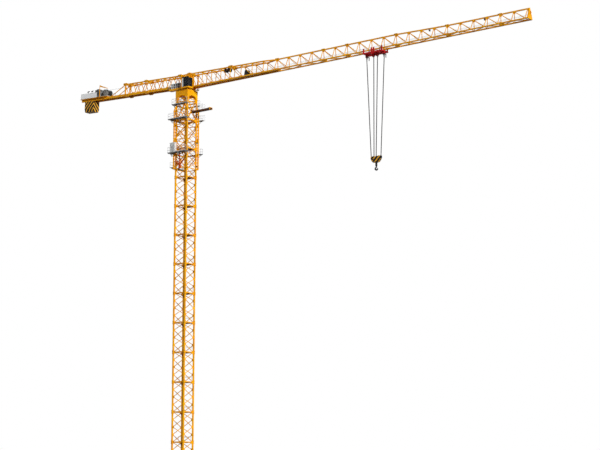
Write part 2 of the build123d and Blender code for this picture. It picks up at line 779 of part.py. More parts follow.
# Outer jib: leaning sides with the bottom chords
outer_length = jib_end - outer_start
neck_rise = top_axis - low_axis
with BuildPart() as jib_near_side:
    with Locations((outer_start + outer_length / 2, -jib_half, low_axis)):
        Box(outer_length, jib_chord, jib_chord)
    for i in range(outer_bays):
        inner_x = neck_end + jib_bay * i
        foot_x = inner_x + lean_run
        outer_x = inner_x + jib_bay
        foot = (foot_x, -jib_half, low_axis)
        inner_head = (inner_x, -lacing_side_shift, top_level(inner_x))
        outer_head = (outer_x, -lacing_side_shift, top_level(outer_x))
        lean = bar_plane(foot, inner_head)
        upright = bar_plane(foot, outer_head)
        with BuildSketch(lean):
            Rectangle(jib_bar, jib_bar)
        extrude(amount=(Vector(*inner_head) - Vector(*foot)).length)
        with BuildSketch(upright):
            Rectangle(jib_bar, jib_bar)
        extrude(amount=(Vector(*outer_head) - Vector(*foot)).length)
    first_foot = (neck_end - return_run, -jib_half, low_axis)
    first_head = (neck_end, -lacing_side_shift, top_axis)
    with BuildSketch(bar_plane(first_foot, first_head)):
        Rectangle(jib_bar, jib_bar)
    extrude(amount=(Vector(*first_head) - Vector(*first_foot)).length)
    with BuildSketch(Plane.XZ.offset(jib_half)):
        with Locations((root_end + lean_run / 2, low_axis + neck_rise / 2)):
            Rectangle(hypot(lean_run, neck_rise), jib_bar, rotation=-degrees(atan2(neck_rise, lean_run)))
        with Locations((root_end, low_axis)):
            Rectangle(neck_length, neck_rise, align=(Align.MIN, Align.MIN), mode=Mode.INTERSECT)
    extrude(amount=jib_bar / 2, both=True)
    add(jib_top_chord.part, mode=Mode.SUBTRACT)
jib_near_side.part.label = "jib_near_side"
export_step(jib_near_side.part, "parts/jib_near_side.step")

with BuildPart() as jib_far_side:
    add(jib_near_side.part.mirror(Plane.XZ))
jib_far_side.part.label = "jib_far_side"
export_step(jib_far_side.part, "parts/jib_far_side.step")

# Bottom lacing of the whole jib
floor_bays = root_bays + outer_bays
floor_bay = (jib_end - head_half) / floor_bays
floor_length = jib_end - head_half
floor_zig = hypot(floor_bay, zig_width)
floor_angle = degrees(atan2(zig_width, floor_bay))
floor_zigs = [head_half + floor_bay * (i + 0.5) for i in range(floor_bays)]
with BuildPart() as jib_bottom_bracing:
    with BuildSketch(Plane.XY.offset(low_axis)):
        with Locations(*[(x, 0) for x in floor_zigs[0::2]]):
            Rectangle(floor_zig + jib_bar, jib_bar, rotation=floor_angle)
        with Locations(*[(x, 0) for x in floor_zigs[1::2]]):
            Rectangle(floor_zig + jib_bar, jib_bar, rotation=-floor_angle)
        with Locations((head_half + floor_length / 2, 0)):
            Rectangle(floor_length, 2 * jib_inner, mode=Mode.INTERSECT)
    extrude(amount=jib_bar / 2, both=True)
jib_bottom_bracing.part.label = "jib_bottom_bracing"
export_step(jib_bottom_bracing.part, "parts/jib_bottom_bracing.step")

# Jib tip plate with its return sheave
tip_top = tip_axis + half_chord
with BuildPart() as jib_tip:
    with BuildSketch(Plane.YZ.offset(jib_end)):
        with BuildLine():
            Polyline(
                (-jib_outer, jib_base),
                (jib_outer, jib_base),
                (jib_outer, jib_base + jib_chord),
                (half_chord, tip_top),
                (-half_chord, tip_top),
                (-jib_outer, jib_base + jib_chord),
                close=True,
            )
        make_face()
    extrude(amount=jib_tip_plate)
    with BuildSketch(Plane.XZ):
        with Locations((jib_end + jib_tip_plate, jib_base + truss_depth / 2)):
            Circle(tip_sheave_radius)
    extrude(amount=tip_sheave_width / 2, both=True)
    with Locations((jib_end, 0, jib_base + truss_depth / 2)):
        Box(
            2 * tip_sheave_radius,
            jib_span,
            truss_depth,
            align=(Align.MAX, Align.CENTER, Align.CENTER),
            mode=Mode.SUBTRACT,
        )
jib_tip.part.label = "jib_tip"
export_step(jib_tip.part, "parts/jib_tip.step")

# Counter-jib: two girders with the truss above them
counter_bay = counter_truss / counter_bays
counter_top = counter_depth - half_chord
counter_foot = girder_depth / 2
counter_rise = counter_top - counter_foot
counter_mid = (counter_top + counter_foot) / 2
counter_bar = hypot(counter_bay / 2, counter_rise)
counter_angle = degrees(atan2(counter_rise, counter_bay / 2))
slope_xs = [-counter_bay * (i + 0.5) / 2 for i in range(2 * counter_bays)]
tie_length = hypot(tie_run, counter_rise)
tie_angle = degrees(atan2(counter_rise, tie_run))
with BuildPart() as counter_jib_near_side:
    with BuildSketch(counter_side.offset(jib_half)):
        with Locations(*[(x, counter_mid) for x in slope_xs[0::2]]):
            Rectangle(counter_bar, jib_bar, rotation=counter_angle)
        with Locations(*[(x, counter_mid) for x in slope_xs[1::2]]):
            Rectangle(counter_bar, jib_bar, rotation=-counter_angle)
        with Locations((half_chord - counter_truss - tie_run / 2, counter_mid)):
            Rectangle(tie_length, tie_bar, rotation=tie_angle)
        Rectangle(counter_length, counter_depth, align=(Align.MAX, Align.MIN), mode=Mode.INTERSECT)
    extrude(amount=jib_bar / 2, both=True)
    with BuildSketch(counter_side.offset(jib_half)):
        with Locations((0, counter_top)):
            Rectangle(counter_truss, jib_chord, align=(Align.MAX, Align.CENTER))
        with Locations((-counter_truss, 0)):
            Rectangle(jib_chord, counter_depth, align=(Align.MIN, Align.MIN))
        Rectangle(counter_length, girder_depth, align=(Align.MAX, Align.MIN))
    extrude(amount=half_chord, both=True)
    add(tower_head.part, mode=Mode.SUBTRACT)
counter_jib_near_side.part.label = "counter_jib_near_side"
export_step(counter_jib_near_side.part, "parts/counter_jib_near_side.step")

with BuildPart() as counter_jib_far_side:
    add(counter_jib_near_side.part.mirror(Plane.XZ))
counter_jib_far_side.part.label = "counter_jib_far_side"
export_step(counter_jib_far_side.part, "parts/counter_jib_far_side.step")

cross_zig = hypot(counter_bay / 2, zig_width)
cross_angle = degrees(atan2(zig_width, counter_bay / 2))
cross_start = counter_top * counter_sin + lacing_end_gap
with BuildPart() as counter_jib_top_bracing:
    with BuildSketch(counter_floor.offset(counter_top)):
        with Locations(*[(x, 0) for x in slope_xs[0::2]]):
            Rectangle(cross_zig + jib_bar, jib_bar, rotation=cross_angle)
        with Locations(*[(x, 0) for x in slope_xs[1::2]]):
            Rectangle(cross_zig + jib_bar, jib_bar, rotation=-cross_angle)
        with Locations((jib_bar / 2 - counter_truss, 0)):
            Rectangle(jib_bar, 2 * jib_inner)
        with Locations((-counter_truss, 0)):
            Rectangle(
                counter_truss - cross_start,
                2 * jib_inner,
                align=(Align.MIN, Align.CENTER),
                mode=Mode.INTERSECT,
            )
    extrude(amount=jib_bar / 2, both=True)
counter_jib_top_bracing.part.label = "counter_jib_top_bracing"
export_step(counter_jib_top_bracing.part, "parts/counter_jib_top_bracing.step")

deck_top = girder_depth + plate_thick
with BuildPart() as counter_jib_deck:
    with BuildSketch(counter_floor.offset(girder_depth)):
        Rectangle(counter_length, 2 * jib_inner, align=(Align.MAX, Align.CENTER))
    extrude(amount=-plate_thick)
    with BuildSketch(counter_floor.offset(girder_depth)):
        with Locations((-counter_length, 0)):
            Rectangle(deck_length, deck_width, align=(Align.MIN, Align.CENTER))
    extrude(amount=plate_thick)
    add(tower_head.part, mode=Mode.SUBTRACT)
counter_jib_deck.part.label = "counter_jib_deck"
export_step(counter_jib_deck.part, "parts/counter_jib_deck.step")

# Counterweight slabs under the girders
slab_pitch = slab_thick + slab_gap
slab_xs = [slab_setback - counter_length + slab_pitch * i for i in range(slab_count)]
with BuildPart() as counterweight_slabs:
    with BuildSketch(*[counter_face.offset(x) for x in slab_xs]):
        with BuildLine():
            Polyline(
                (-slab_width / 2, 0),
                (slab_width / 2, 0),
                (slab_width / 2, slab_foot_height - slab_height),
                (slab_foot_width / 2, -slab_height),
                (-slab_foot_width / 2, -slab_height),
                (-slab_width / 2, slab_foot_height - slab_height),
                close=True,
            )
        make_face()
    extrude(amount=slab_thick)
counterweight_slabs.part.label = "counterweight_slabs"
export_step(counterweight_slabs.part, "parts/counterweight_slabs.step")

# Blank board on the cab side of the counter-jib
deck_edge = deck_width / 2
with BuildPart() as side_board:
    with BuildSketch(counter_side.offset(deck_edge)):
        with Locations((board_setback - counter_length, deck_top)):
            Rectangle(board_length, board_height, align=(Align.MIN, Align.MIN))
    extrude(amount=-board_thick)
side_board.part.label = "side_board"
export_step(side_board.part, "parts/side_board.step")

# Hoist winch: bed, drum and motor
winch_start = winch_setback - counter_length
winch_deck = deck_top + winch_base
drum_x = winch_start + winch_length - drum_radius
with BuildPart() as hoist_winch:
    with BuildSketch(counter_floor.offset(deck_top)):
        with Locations((winch_start, 0)):
            Rectangle(winch_length, winch_width, align=(Align.MIN, Align.CENTER))
    extrude(amount=winch_base)
    with BuildSketch(counter_side):
        with Locations((drum_x, winch_deck + drum_radius)):
            Circle(drum_radius)
        with Locations((drum_x, winch_deck)):
            Rectangle(drum_radius, drum_radius, align=(Align.CENTER, Align.MIN))
        with Locations((winch_start, winch_deck)):
            Rectangle(winch_motor_length, winch_motor_height, align=(Align.MIN, Align.MIN))
    extrude(amount=drum_length / 2, both=True)
hoist_winch.part.label = "hoist_winch"
export_step(hoist_winch.part, "parts/hoist_winch.step")

# Davit beside the winch: post and tapered arm
davit_x = davit_setback - counter_length
davit_y = davit_inset - deck_edge
davit_top = deck_top + davit_height
with BuildPart() as davit:
    with BuildSketch(counter_floor.offset(deck_top)):
        with Locations((davit_x, davit_y)):
            Circle(davit_radius)
    extrude(amount=davit_height)
    with BuildSketch(counter_side.offset(-davit_y)):
        with BuildLine():
            Polyline(
                (davit_x, davit_top),
                (davit_x, davit_top - davit_arm),
                (davit_x + davit_reach, davit_top - davit_dip - davit_tip),
                (davit_x + davit_reach, davit_top - davit_dip),
                close=True,
            )
        make_face()
    extrude(amount=davit_radius / 2, both=True)
davit.part.label = "davit"
export_step(davit.part, "parts/davit.step")

# Railing along the far edge and the end of the machinery deck
deck_rail_y = deck_edge - rail_inset
deck_rail_x = rail_inset - counter_length
deck_rail_length = deck_length - 2 * rail_inset
deck_rail_z = deck_top + rail_height / 2
deck_rail_top = deck_top + rail_height - rail_bar / 2
deck_end_width = 2 * deck_rail_y - rail_bar - 2 * rail_corner_gap
deck_posts = [deck_rail_x + deck_rail_length * i / 4 for i in range(5)]
deck_end_posts = [deck_rail_y * i / 2 for i in range(-1, 2)]
with BuildPart() as deck_railing:
    with BuildSketch(counter_side.offset(-deck_rail_y)):
        with Locations((deck_rail_x, deck_rail_z), (deck_rail_x, deck_rail_top)):
            Rectangle(deck_rail_length, rail_bar, align=(Align.MIN, Align.CENTER))
        with Locations(*[(x, deck_rail_z) for x in deck_posts]):
            Rectangle(rail_bar, rail_height)
    extrude(amount=rail_bar / 2, both=True)
    with BuildSketch(counter_face.offset(deck_rail_x)):
        with Locations((0, deck_rail_z), (0, deck_rail_top)):
            Rectangle(deck_end_width, rail_bar)
        with Locations(*[(y, deck_rail_z) for y in deck_end_posts]):
            Rectangle(rail_bar, rail_height)
    extrude(amount=rail_bar / 2, both=True)
deck_railing.part.label = "deck_railing"
export_step(deck_railing.part, "parts/deck_railing.step")

# Cab: glazed box hung on the near side of the head and jib root
cab_base = jib_base - cab_drop
cab_end = cab_start + cab_length
cab_face = -jib_outer - cab_width
cab_mid_x = cab_start + cab_length / 2
cab_mid_y = -jib_outer - cab_width / 2
cab_mid_z = cab_base + cab_height / 2
pane_height = cab_height - 2 * window_sill
front_pane = cab_width - 2 * window_margin
side_pane = cab_length - 2 * window_margin
with BuildPart() as cab_shell:
    with Locations((cab_mid_x, cab_mid_y, cab_mid_z)):
        Box(cab_length, cab_width, cab_height)
        Box(
            cab_length - 2 * cab_wall,
            cab_width - 2 * cab_wall,
            cab_height - 2 * cab_wall,
            mode=Mode.SUBTRACT,
        )
    with BuildSketch(Plane.YZ.offset(cab_end)):
        with Locations((cab_mid_y, cab_mid_z)):
            Rectangle(front_pane, pane_height)
    extrude(amount=-cab_wall, mode=Mode.SUBTRACT)
    with BuildSketch(Plane.XZ.offset(-cab_face)):
        with Locations((cab_mid_x, cab_mid_z)):
            Rectangle(side_pane, pane_height)
    extrude(amount=-cab_wall, mode=Mode.SUBTRACT)
cab_shell.part.label = "cab_shell"
export_step(cab_shell.part, "parts/cab_shell.step")

with BuildPart() as cab_glass:
    with BuildSketch(Plane.YZ.offset(cab_end - cab_wall)):
        with Locations((cab_mid_y, cab_mid_z)):
            Rectangle(front_pane, pane_height)
    extrude(amount=glass_thick)
    with BuildSketch(Plane.XZ.offset(-cab_face - cab_wall)):
        with Locations((cab_mid_x, cab_mid_z)):
            Rectangle(side_pane, pane_height)
    extrude(amount=glass_thick)
cab_glass.part.label = "cab_glass"
export_step(cab_glass.part, "parts/cab_glass.step")

# Service deck with the switch cabinet, on the near side of the turntable
service_edge = -turntable_width / 2 - service_width
service_start = cab_start - service_length
service_top = jib_base
with BuildPart() as service_deck:
    with Locations((cab_start, -turntable_width / 2, service_top)):
        Box(service_length, service_width, service_thick, align=(Align.MAX, Align.MAX, Align.MAX))
service_deck.part.label = "service_deck"
export_step(service_deck.part, "parts/service_deck.step")

with BuildPart() as switch_cabinet:
    with Locations((service_start + cabinet_setback, -turntable_width / 2, service_top)):
        Box(cabinet_length, cabinet_depth, cabinet_height, align=(Align.MIN, Align.MAX, Align.MIN))
switch_cabinet.part.label = "switch_cabinet"
export_step(switch_cabinet.part, "parts/switch_cabinet.step")

service_rail_y = service_edge + rail_inset
service_rail_x = service_start + rail_inset
service_rail_length = service_length - 2 * rail_inset
service_rail_z = service_top + rail_height / 2
service_rail_top = service_top + rail_height - rail_bar / 2
service_posts = [service_rail_x + service_rail_length * i / 4 for i in range(5)]
with BuildPart() as service_railing:
    with BuildSketch(Plane.XZ.offset(-service_rail_y)):
        with Locations((service_rail_x, service_rail_z), (service_rail_x, service_rail_top)):
            Rectangle(service_rail_length, rail_bar, align=(Align.MIN, Align.CENTER))
        with Locations(*[(x, service_rail_z) for x in service_posts]):
            Rectangle(rail_bar, rail_height)
    extrude(amount=rail_bar / 2, both=True)
service_railing.part.label = "service_railing"
export_step(service_railing.part, "parts/service_railing.step")

# Trolley winch between the root sides: drum on two splayed cheeks over the bottom lacing
jib_winch_base = low_axis + jib_bar / 2
jib_winch_z = jib_winch_base + jib_winch_plate + jib_winch_stand + jib_winch_radius
jib_winch_side = jib_winch_drum / 2
with BuildPart() as trolley_winch:
    with Locations((jib_winch_x, 0, jib_winch_base)):
        Box(jib_winch_length, 2 * jib_inner, jib_winch_plate, align=(Align.CENTER, Align.CENTER, Align.MIN))
    with BuildSketch(Plane.XZ):
        with Locations((jib_winch_x, jib_winch_z)):
            Circle(jib_winch_radius)
    extrude(amount=jib_winch_side, both=True)
    with BuildSketch(Plane.XZ.offset(jib_winch_side), Plane.XZ.offset(-jib_winch_side - jib_winch_cheek)):
        with BuildLine():
            Polyline(
                (jib_winch_x - jib_winch_foot / 2, jib_winch_base),
                (jib_winch_x + jib_winch_foot / 2, jib_winch_base),
                (jib_winch_x + jib_winch_radius, jib_winch_z),
                (jib_winch_x + jib_winch_radius / 2, jib_winch_z + jib_winch_radius),
                (jib_winch_x - jib_winch_radius / 2, jib_winch_z + jib_winch_radius),
                (jib_winch_x - jib_winch_radius, jib_winch_z),
                close=True,
            )
        make_face()
    extrude(amount=jib_winch_cheek)
trolley_winch.part.label = "trolley_winch"
export_step(trolley_winch.part, "parts/trolley_winch.step")

# Trolley: frame under the bottom chords, wheels on them, rope sheaves
trolley_top = jib_base - trolley_drop
trolley_low = trolley_top - trolley_beam_height
side_face = jib_outer + trolley_side_gap
side_line = side_face + trolley_beam / 2
cheek_line = sheave_width / 2 + cheek_thick / 2
inner_low = jib_base - trolley_inner_drop
wheel_z = jib_base + jib_chord + wheel_clearance + wheel_radius
bracket_height = wheel_z + wheel_radius - trolley_top
cross_line = trolley_length / 2 - trolley_cross / 2
cross_xs = [trolley_x + cross_line * i / 3 for i in (-3, -1, 1, 3)]
bracket_xs = [trolley_x + x for x in (-wheel_offset, -guide_offset, guide_offset, wheel_offset)]
trolley_ropes = [trolley_x + x for x in (rope_top_1, rope_top_2, rope_top_3, rope_top_4)]
with BuildPart() as trolley_frame:
    with BuildSketch(Plane.XY.offset(trolley_low)):
        with Locations((trolley_x, side_line), (trolley_x, -side_line)):
            Rectangle(trolley_length, trolley_beam)
        with Locations(*[(x, 0) for x in cross_xs]):
            Rectangle(trolley_cross, 2 * side_line)
    extrude(amount=trolley_beam_height)
    with BuildSketch(Plane.XZ.offset(sheave_width / 2), Plane.XZ.offset(-sheave_width / 2 - cheek_thick)):
        with Locations((trolley_x, trolley_low)):
            Rectangle(trolley_length, trolley_beam_height, align=(Align.CENTER, Align.MIN))
        with Locations(*[(x, inner_low) for x in trolley_ropes]):
            Rectangle(sheave_hanger, trolley_low - inner_low, align=(Align.CENTER, Align.MIN))
    extrude(amount=cheek_thick)
    with Locations(*[(x, y, trolley_top) for x in bracket_xs for y in (-side_line, side_line)]):
        Box(wheel_bracket, trolley_beam, bracket_height, align=(Align.CENTER, Align.CENTER, Align.MIN))
trolley_frame.part.label = "trolley_frame"
export_step(trolley_frame.part, "parts/trolley_frame.step")

wheel_width = side_face - jib_outer + wheel_lap
with BuildPart() as trolley_wheels:
    with BuildSketch(Plane.XZ.offset(side_face)):
        with Locations((trolley_x - wheel_offset, wheel_z), (trolley_x + wheel_offset, wheel_z)):
            RegularPolygon(wheel_radius, sheave_sides)
    extrude(amount=-wheel_width)
    with BuildSketch(Plane.XZ.offset(-side_face)):
        with Locations((trolley_x - wheel_offset, wheel_z), (trolley_x + wheel_offset, wheel_z)):
            RegularPolygon(wheel_radius, sheave_sides)
    extrude(amount=wheel_width)
trolley_wheels.part.label = "trolley_wheels"
export_step(trolley_wheels.part, "parts/trolley_wheels.step")

sheave_z = inner_low + trolley_sheave_radius / 2
with BuildPart() as trolley_sheaves:
    with BuildSketch(Plane.XZ):
        with Locations(*[(x, sheave_z) for x in trolley_ropes]):
            RegularPolygon(trolley_sheave_radius, sheave_sides)
    extrude(amount=sheave_width / 2, both=True)
trolley_sheaves.part.label = "trolley_sheaves"
export_step(trolley_sheaves.part, "parts/trolley_sheaves.step")

# Hoist ropes, four falls from the trolley to the hook block
block_top = jib_base - hoist_drop
block_base = block_top - block_height
block_ropes = [trolley_x + x for x in (rope_low_1, rope_low_2, rope_low_3, rope_low_4)]
rope_ys = [-cheek_line, cheek_line, -cheek_line, cheek_line]
with BuildPart() as hoist_ropes:
    for i in range(4):
        with BuildSketch(Plane.XY.offset(inner_low)):
            with Locations((trolley_ropes[i], rope_ys[i])):
                RegularPolygon(rope_radius, 6)
        with BuildSketch(Plane.XY.offset(block_top + rope_gap)):
            with Locations((block_ropes[i], rope_ys[i])):
                RegularPolygon(rope_radius, 6)
        loft()
hoist_ropes.part.label = "hoist_ropes"
export_step(hoist_ropes.part, "parts/hoist_ropes.step")

# Hook block: two cheeks with the crosshead, sheaves between them
crosshead_base = block_base - crosshead_drop
crosshead_top = crosshead_base + crosshead_height
bore_radius = shank_radius + shank_clearance
with BuildPart() as block_frame:
    with BuildSketch(Plane.XZ.offset(-sheave_width / 2 - cheek_thick), Plane.XZ.offset(sheave_width / 2)):
        with BuildLine():
            Polyline(
                (trolley_x - block_length / 2, block_top),
                (trolley_x + block_length / 2, block_top),
                (trolley_x + block_length / 2, block_top - block_shoulder),
                (trolley_x + block_foot / 2, block_base),
                (trolley_x - block_foot / 2, block_base),
                (trolley_x - block_length / 2, block_top - block_shoulder),
                close=True,
            )
        make_face()
    extrude(amount=cheek_thick)
    with Locations((trolley_x, 0, crosshead_base)):
        Box(
            crosshead_length,
            sheave_width + 2 * cheek_thick,
            crosshead_height,
            align=(Align.CENTER, Align.CENTER, Align.MIN),
        )
    with Locations((trolley_x, 0, crosshead_base)):
        Cylinder(
            bore_radius,
            crosshead_height,
            align=(Align.CENTER, Align.CENTER, Align.MIN),
            mode=Mode.SUBTRACT,
        )
block_frame.part.label = "block_frame"
export_step(block_frame.part, "parts/block_frame.step")

with BuildPart() as block_sheaves:
    with BuildSketch(Plane.XZ):
        with Locations(
            (trolley_x - block_sheave_offset, block_top - block_sheave_drop),
            (trolley_x + block_sheave_offset, block_top - block_sheave_drop),
        ):
            RegularPolygon(block_sheave_radius, sheave_sides)
    extrude(amount=sheave_width / 2, both=True)
block_sheaves.part.label = "block_sheaves"
export_step(block_sheaves.part, "parts/block_sheaves.step")

# Hook on a shank that turns in the crosshead
nut_base = crosshead_top + shank_clearance
shank_base = crosshead_base - shank_length
hook_z = shank_base - hook_radius
with BuildPart() as hook:
    with BuildSketch(Plane.XZ):
        with Locations((trolley_x, hook_z)):
            Circle(hook_radius)
        with Locations((trolley_x, hook_z + hook_throat_rise)):
            Circle(hook_throat, mode=Mode.SUBTRACT)
        with Locations((trolley_x + hook_mouth, hook_z + hook_throat_rise)):
            Rectangle(hook_radius, hook_radius, align=(Align.MIN, Align.MIN), mode=Mode.SUBTRACT)
    extrude(amount=hook_thick / 2, both=True)
    with Locations((trolley_x, 0, hook_z + hook_throat + 2 * hook_throat_rise)):
        Cylinder(
            shank_radius,
            nut_base - hook_z - hook_throat - 2 * hook_throat_rise,
            align=(Align.CENTER, Align.CENTER, Align.MIN),
        )
    with Locations((trolley_x, 0, hook_z + hook_throat + 2 * hook_throat_rise)):
        Cylinder(
            hook_neck_radius,
            crosshead_base - shank_clearance - hook_z - hook_throat - 2 * hook_throat_rise,
            align=(Align.CENTER, Align.CENTER, Align.MIN),
        )
    with Locations((trolley_x, 0, nut_base)):
        Cylinder(nut_radius, nut_height, align=(Align.CENTER, Align.CENTER, Align.MIN))
hook.part.label = "hook"
export_step(hook.part, "parts/hook.step")
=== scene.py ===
import json
import math

import bmesh
import bpy
from mathutils import Matrix, Vector


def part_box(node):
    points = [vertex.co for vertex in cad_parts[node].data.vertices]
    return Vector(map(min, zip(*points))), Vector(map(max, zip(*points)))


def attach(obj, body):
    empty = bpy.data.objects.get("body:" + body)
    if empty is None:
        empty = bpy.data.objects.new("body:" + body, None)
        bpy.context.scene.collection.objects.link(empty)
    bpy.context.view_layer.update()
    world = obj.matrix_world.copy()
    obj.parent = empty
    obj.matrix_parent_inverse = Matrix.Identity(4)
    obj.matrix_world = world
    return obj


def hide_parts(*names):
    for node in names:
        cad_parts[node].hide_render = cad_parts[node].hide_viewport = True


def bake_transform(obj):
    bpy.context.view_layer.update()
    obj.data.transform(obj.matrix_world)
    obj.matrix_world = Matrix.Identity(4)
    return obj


# Looks of the flat-top tower crane. Lengths are metres in the frame that the CAD nodes share:
# z is up, the jib points along x, and the photo looks at the side where y is negative.

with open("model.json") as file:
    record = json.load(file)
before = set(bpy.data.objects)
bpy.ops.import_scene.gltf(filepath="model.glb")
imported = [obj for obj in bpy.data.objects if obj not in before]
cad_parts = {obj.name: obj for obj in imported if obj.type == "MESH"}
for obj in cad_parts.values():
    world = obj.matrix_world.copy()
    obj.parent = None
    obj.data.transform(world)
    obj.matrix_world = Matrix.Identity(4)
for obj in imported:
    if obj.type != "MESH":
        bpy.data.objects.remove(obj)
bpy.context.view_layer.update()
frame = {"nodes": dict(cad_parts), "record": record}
scene = bpy.context.scene
nodes = frame["nodes"]


# Materials

BLACK = (0.0, 0.0, 0.0)
WHITE = (1.0, 1.0, 1.0)
PATCH_SCALE = 6.0
FINE_SCALE = 70.0
STREAK_SCALE = 22.0
STREAK_STRETCH = (1.0, 1.0, 0.12)
SPECK_SCALE = 160.0
SOIL_SCALE = 24.0
GRAIN_SCALE = 90.0
STRAND_SCALE = 160.0
GRATING_SCALE = 26.0
WEAR_SCALE = 9.0
DUST_SCALE = 30.0
# Sockets of the Mix node when it mixes colours
MIX_FACTOR = 0
MIX_FIRST = 6
MIX_SECOND = 7
MIX_RESULT = 2


def tree_of(name):
    material = bpy.data.materials.new(name)
    material.use_nodes = True
    tree = material.node_tree
    return material, tree, tree.nodes["Principled BSDF"], tree.nodes.new("ShaderNodeTexCoord")


def feed(tree, value, socket):
    """Put a number, a colour or a node's output into a socket."""
    if isinstance(value, tuple):
        socket.default_value = (*value, 1.0)
    elif isinstance(value, (int, float)):
        socket.default_value = value
    else:
        tree.links.new(value, socket)


def node_of(tree, kind, **inputs):
    """New node with the named inputs fed."""
    node = tree.nodes.new("ShaderNode" + kind)
    for name, value in inputs.items():
        feed(tree, value, node.inputs[name])
    return node


def noise(tree, coords, scale, detail=6.0, rough=0.55, stretch=(1.0, 1.0, 1.0)):
    mapping = node_of(tree, "Mapping", Vector=coords.outputs["Object"])
    mapping.inputs["Scale"].default_value = stretch
    place = mapping.outputs["Vector"]
    tex = node_of(tree, "TexNoise", Vector=place, Scale=scale, Detail=detail, Roughness=rough)
    return tex.outputs["Fac"]


def wave(tree, coords, direction, scale, distortion=0.0):
    tex = node_of(tree, "TexWave", Vector=coords.outputs["Object"], Scale=scale, Distortion=distortion)
    tex.bands_direction = direction
    return tex.outputs["Fac"]


def ramp(tree, fac, stops):
    """Colour ramp between two stops, each a place and a colour."""
    node = node_of(tree, "ValToRGB", Fac=fac)
    for element, (place, colour) in zip(node.color_ramp.elements, stops):
        element.position = place
        element.color = (*colour, 1.0)
    return node.outputs["Color"]


def mixed(tree, fac, first, second):
    node = tree.nodes.new("ShaderNodeMix")
    node.data_type = "RGBA"
    for value, socket in ((fac, MIX_FACTOR), (first, MIX_FIRST), (second, MIX_SECOND)):
        feed(tree, value, node.inputs[socket])
    return node.outputs[MIX_RESULT]


def math_node(tree, operation, first, second):
    node = tree.nodes.new("ShaderNodeMath")
    node.operation = operation
    feed(tree, first, node.inputs[0])
    feed(tree, second, node.inputs[1])
    return node.outputs[0]


def grey(tree, fac, low, high):
    return ramp(tree, fac, [(0.3, (low,) * 3), (0.7, (high,) * 3)])


def bump(tree, shader, height, strength, distance):
    node = node_of(tree, "Bump", Height=height, Strength=strength, Distance=distance)
    feed(tree, node.outputs["Normal"], shader.inputs["Normal"])


def surface(tree, shader, colour, rough, shine):
    feed(tree, colour, shader.inputs["Base Color"])
    feed(tree, rough, shader.inputs["Roughness"])
    feed(tree, shine, shader.inputs["Specular IOR Level"])


def paint(name, base, shade, dirt, rough=(0.4, 0.65), shine=0.12, dirt_from=0.62):
    """Sprayed steel: patchy tone, dust and rain streaks, a few worn specks."""
    material, tree, shader, coords = tree_of(name)
    patch = noise(tree, coords, PATCH_SCALE)
    fine = noise(tree, coords, FINE_SCALE, detail=4.0)
    streak = noise(tree, coords, STREAK_SCALE, detail=5.0, rough=0.6, stretch=STREAK_STRETCH)
    speck = noise(tree, coords, SPECK_SCALE, detail=3.0, rough=0.7)
    colour = ramp(tree, patch, [(0.32, shade), (0.62, base)])
    streaks = ramp(tree, streak, [(dirt_from, BLACK), (dirt_from + 0.18, (0.6,) * 3)])
    colour = mixed(tree, streaks, colour, dirt)
    worn = ramp(tree, speck, [(0.69, BLACK), (0.76, (0.75,) * 3)])
    colour = mixed(tree, worn, colour, dirt)
    surface(tree, shader, colour, grey(tree, fine, *rough), shine)
    bump(tree, shader, fine, 0.12, 0.0006)
    return material


def striped(name, dark, light, pitch, across, share, dirt):
    """Slanting warning bands; across gives how each axis counts towards the next band."""
    material, tree, shader, coords = tree_of(name)
    split = node_of(tree, "SeparateXYZ", Vector=coords.outputs["Object"])
    total = 0.0
    for output, count in zip(split.outputs, across):
        total = math_node(tree, "ADD", total, math_node(tree, "MULTIPLY", output, count / pitch))
    turn = math_node(tree, "FRACT", total, 0.0)
    band = ramp(tree, turn, [(share - 0.01, dark), (share + 0.01, light)])
    patch = noise(tree, coords, SOIL_SCALE)
    soiled = ramp(tree, patch, [(0.55, BLACK), (0.8, (0.4,) * 3)])
    fine = noise(tree, coords, GRAIN_SCALE, detail=4.0)
    surface(tree, shader, mixed(tree, soiled, band, dirt), grey(tree, fine, 0.45, 0.7), 0.1)
    bump(tree, shader, fine, 0.2, 0.0008)
    return material


def rope_wire(name):
    """Laid wire rope: slanting strands, darker in the grooves between them."""
    material, tree, shader, coords = tree_of(name)
    strands = wave(tree, coords, "DIAGONAL", STRAND_SCALE, 0.4)
    colour = ramp(tree, strands, [(0.25, (0.02,) * 3), (0.7, (0.06, 0.06, 0.058))])
    surface(tree, shader, colour, grey(tree, strands, 0.75, 0.5), 0.15)
    bump(tree, shader, strands, 0.4, 0.0006)
    return material


def grating(name, base, gap):
    """Steel walkway grating: bars both ways over dark gaps."""
    material, tree, shader, coords = tree_of(name)
    height = 0.0
    for direction in ("X", "Y"):
        height = math_node(tree, "MAXIMUM", height, wave(tree, coords, direction, GRATING_SCALE))
    patch = noise(tree, coords, WEAR_SCALE)
    bars = ramp(tree, patch, [(0.35, tuple(0.75 * c for c in base)), (0.65, base)])
    cells = ramp(tree, height, [(0.45, BLACK), (0.62, WHITE)])
    surface(tree, shader, mixed(tree, cells, gap, bars), 0.7, 0.15)
    bump(tree, shader, height, 0.5, 0.002)
    return material


def pane(name):
    """Tinted cab glass with a little dust."""
    material, tree, shader, coords = tree_of(name)
    dust = noise(tree, coords, DUST_SCALE)
    tint = ramp(tree, dust, [(0.4, (0.006, 0.009, 0.014)), (0.75, (0.02, 0.025, 0.03))])
    surface(tree, shader, tint, grey(tree, dust, 0.05, 0.2), 0.25)
    shader.inputs["IOR"].default_value = 1.3
    shader.inputs["Alpha"].default_value = 0.65
    return material


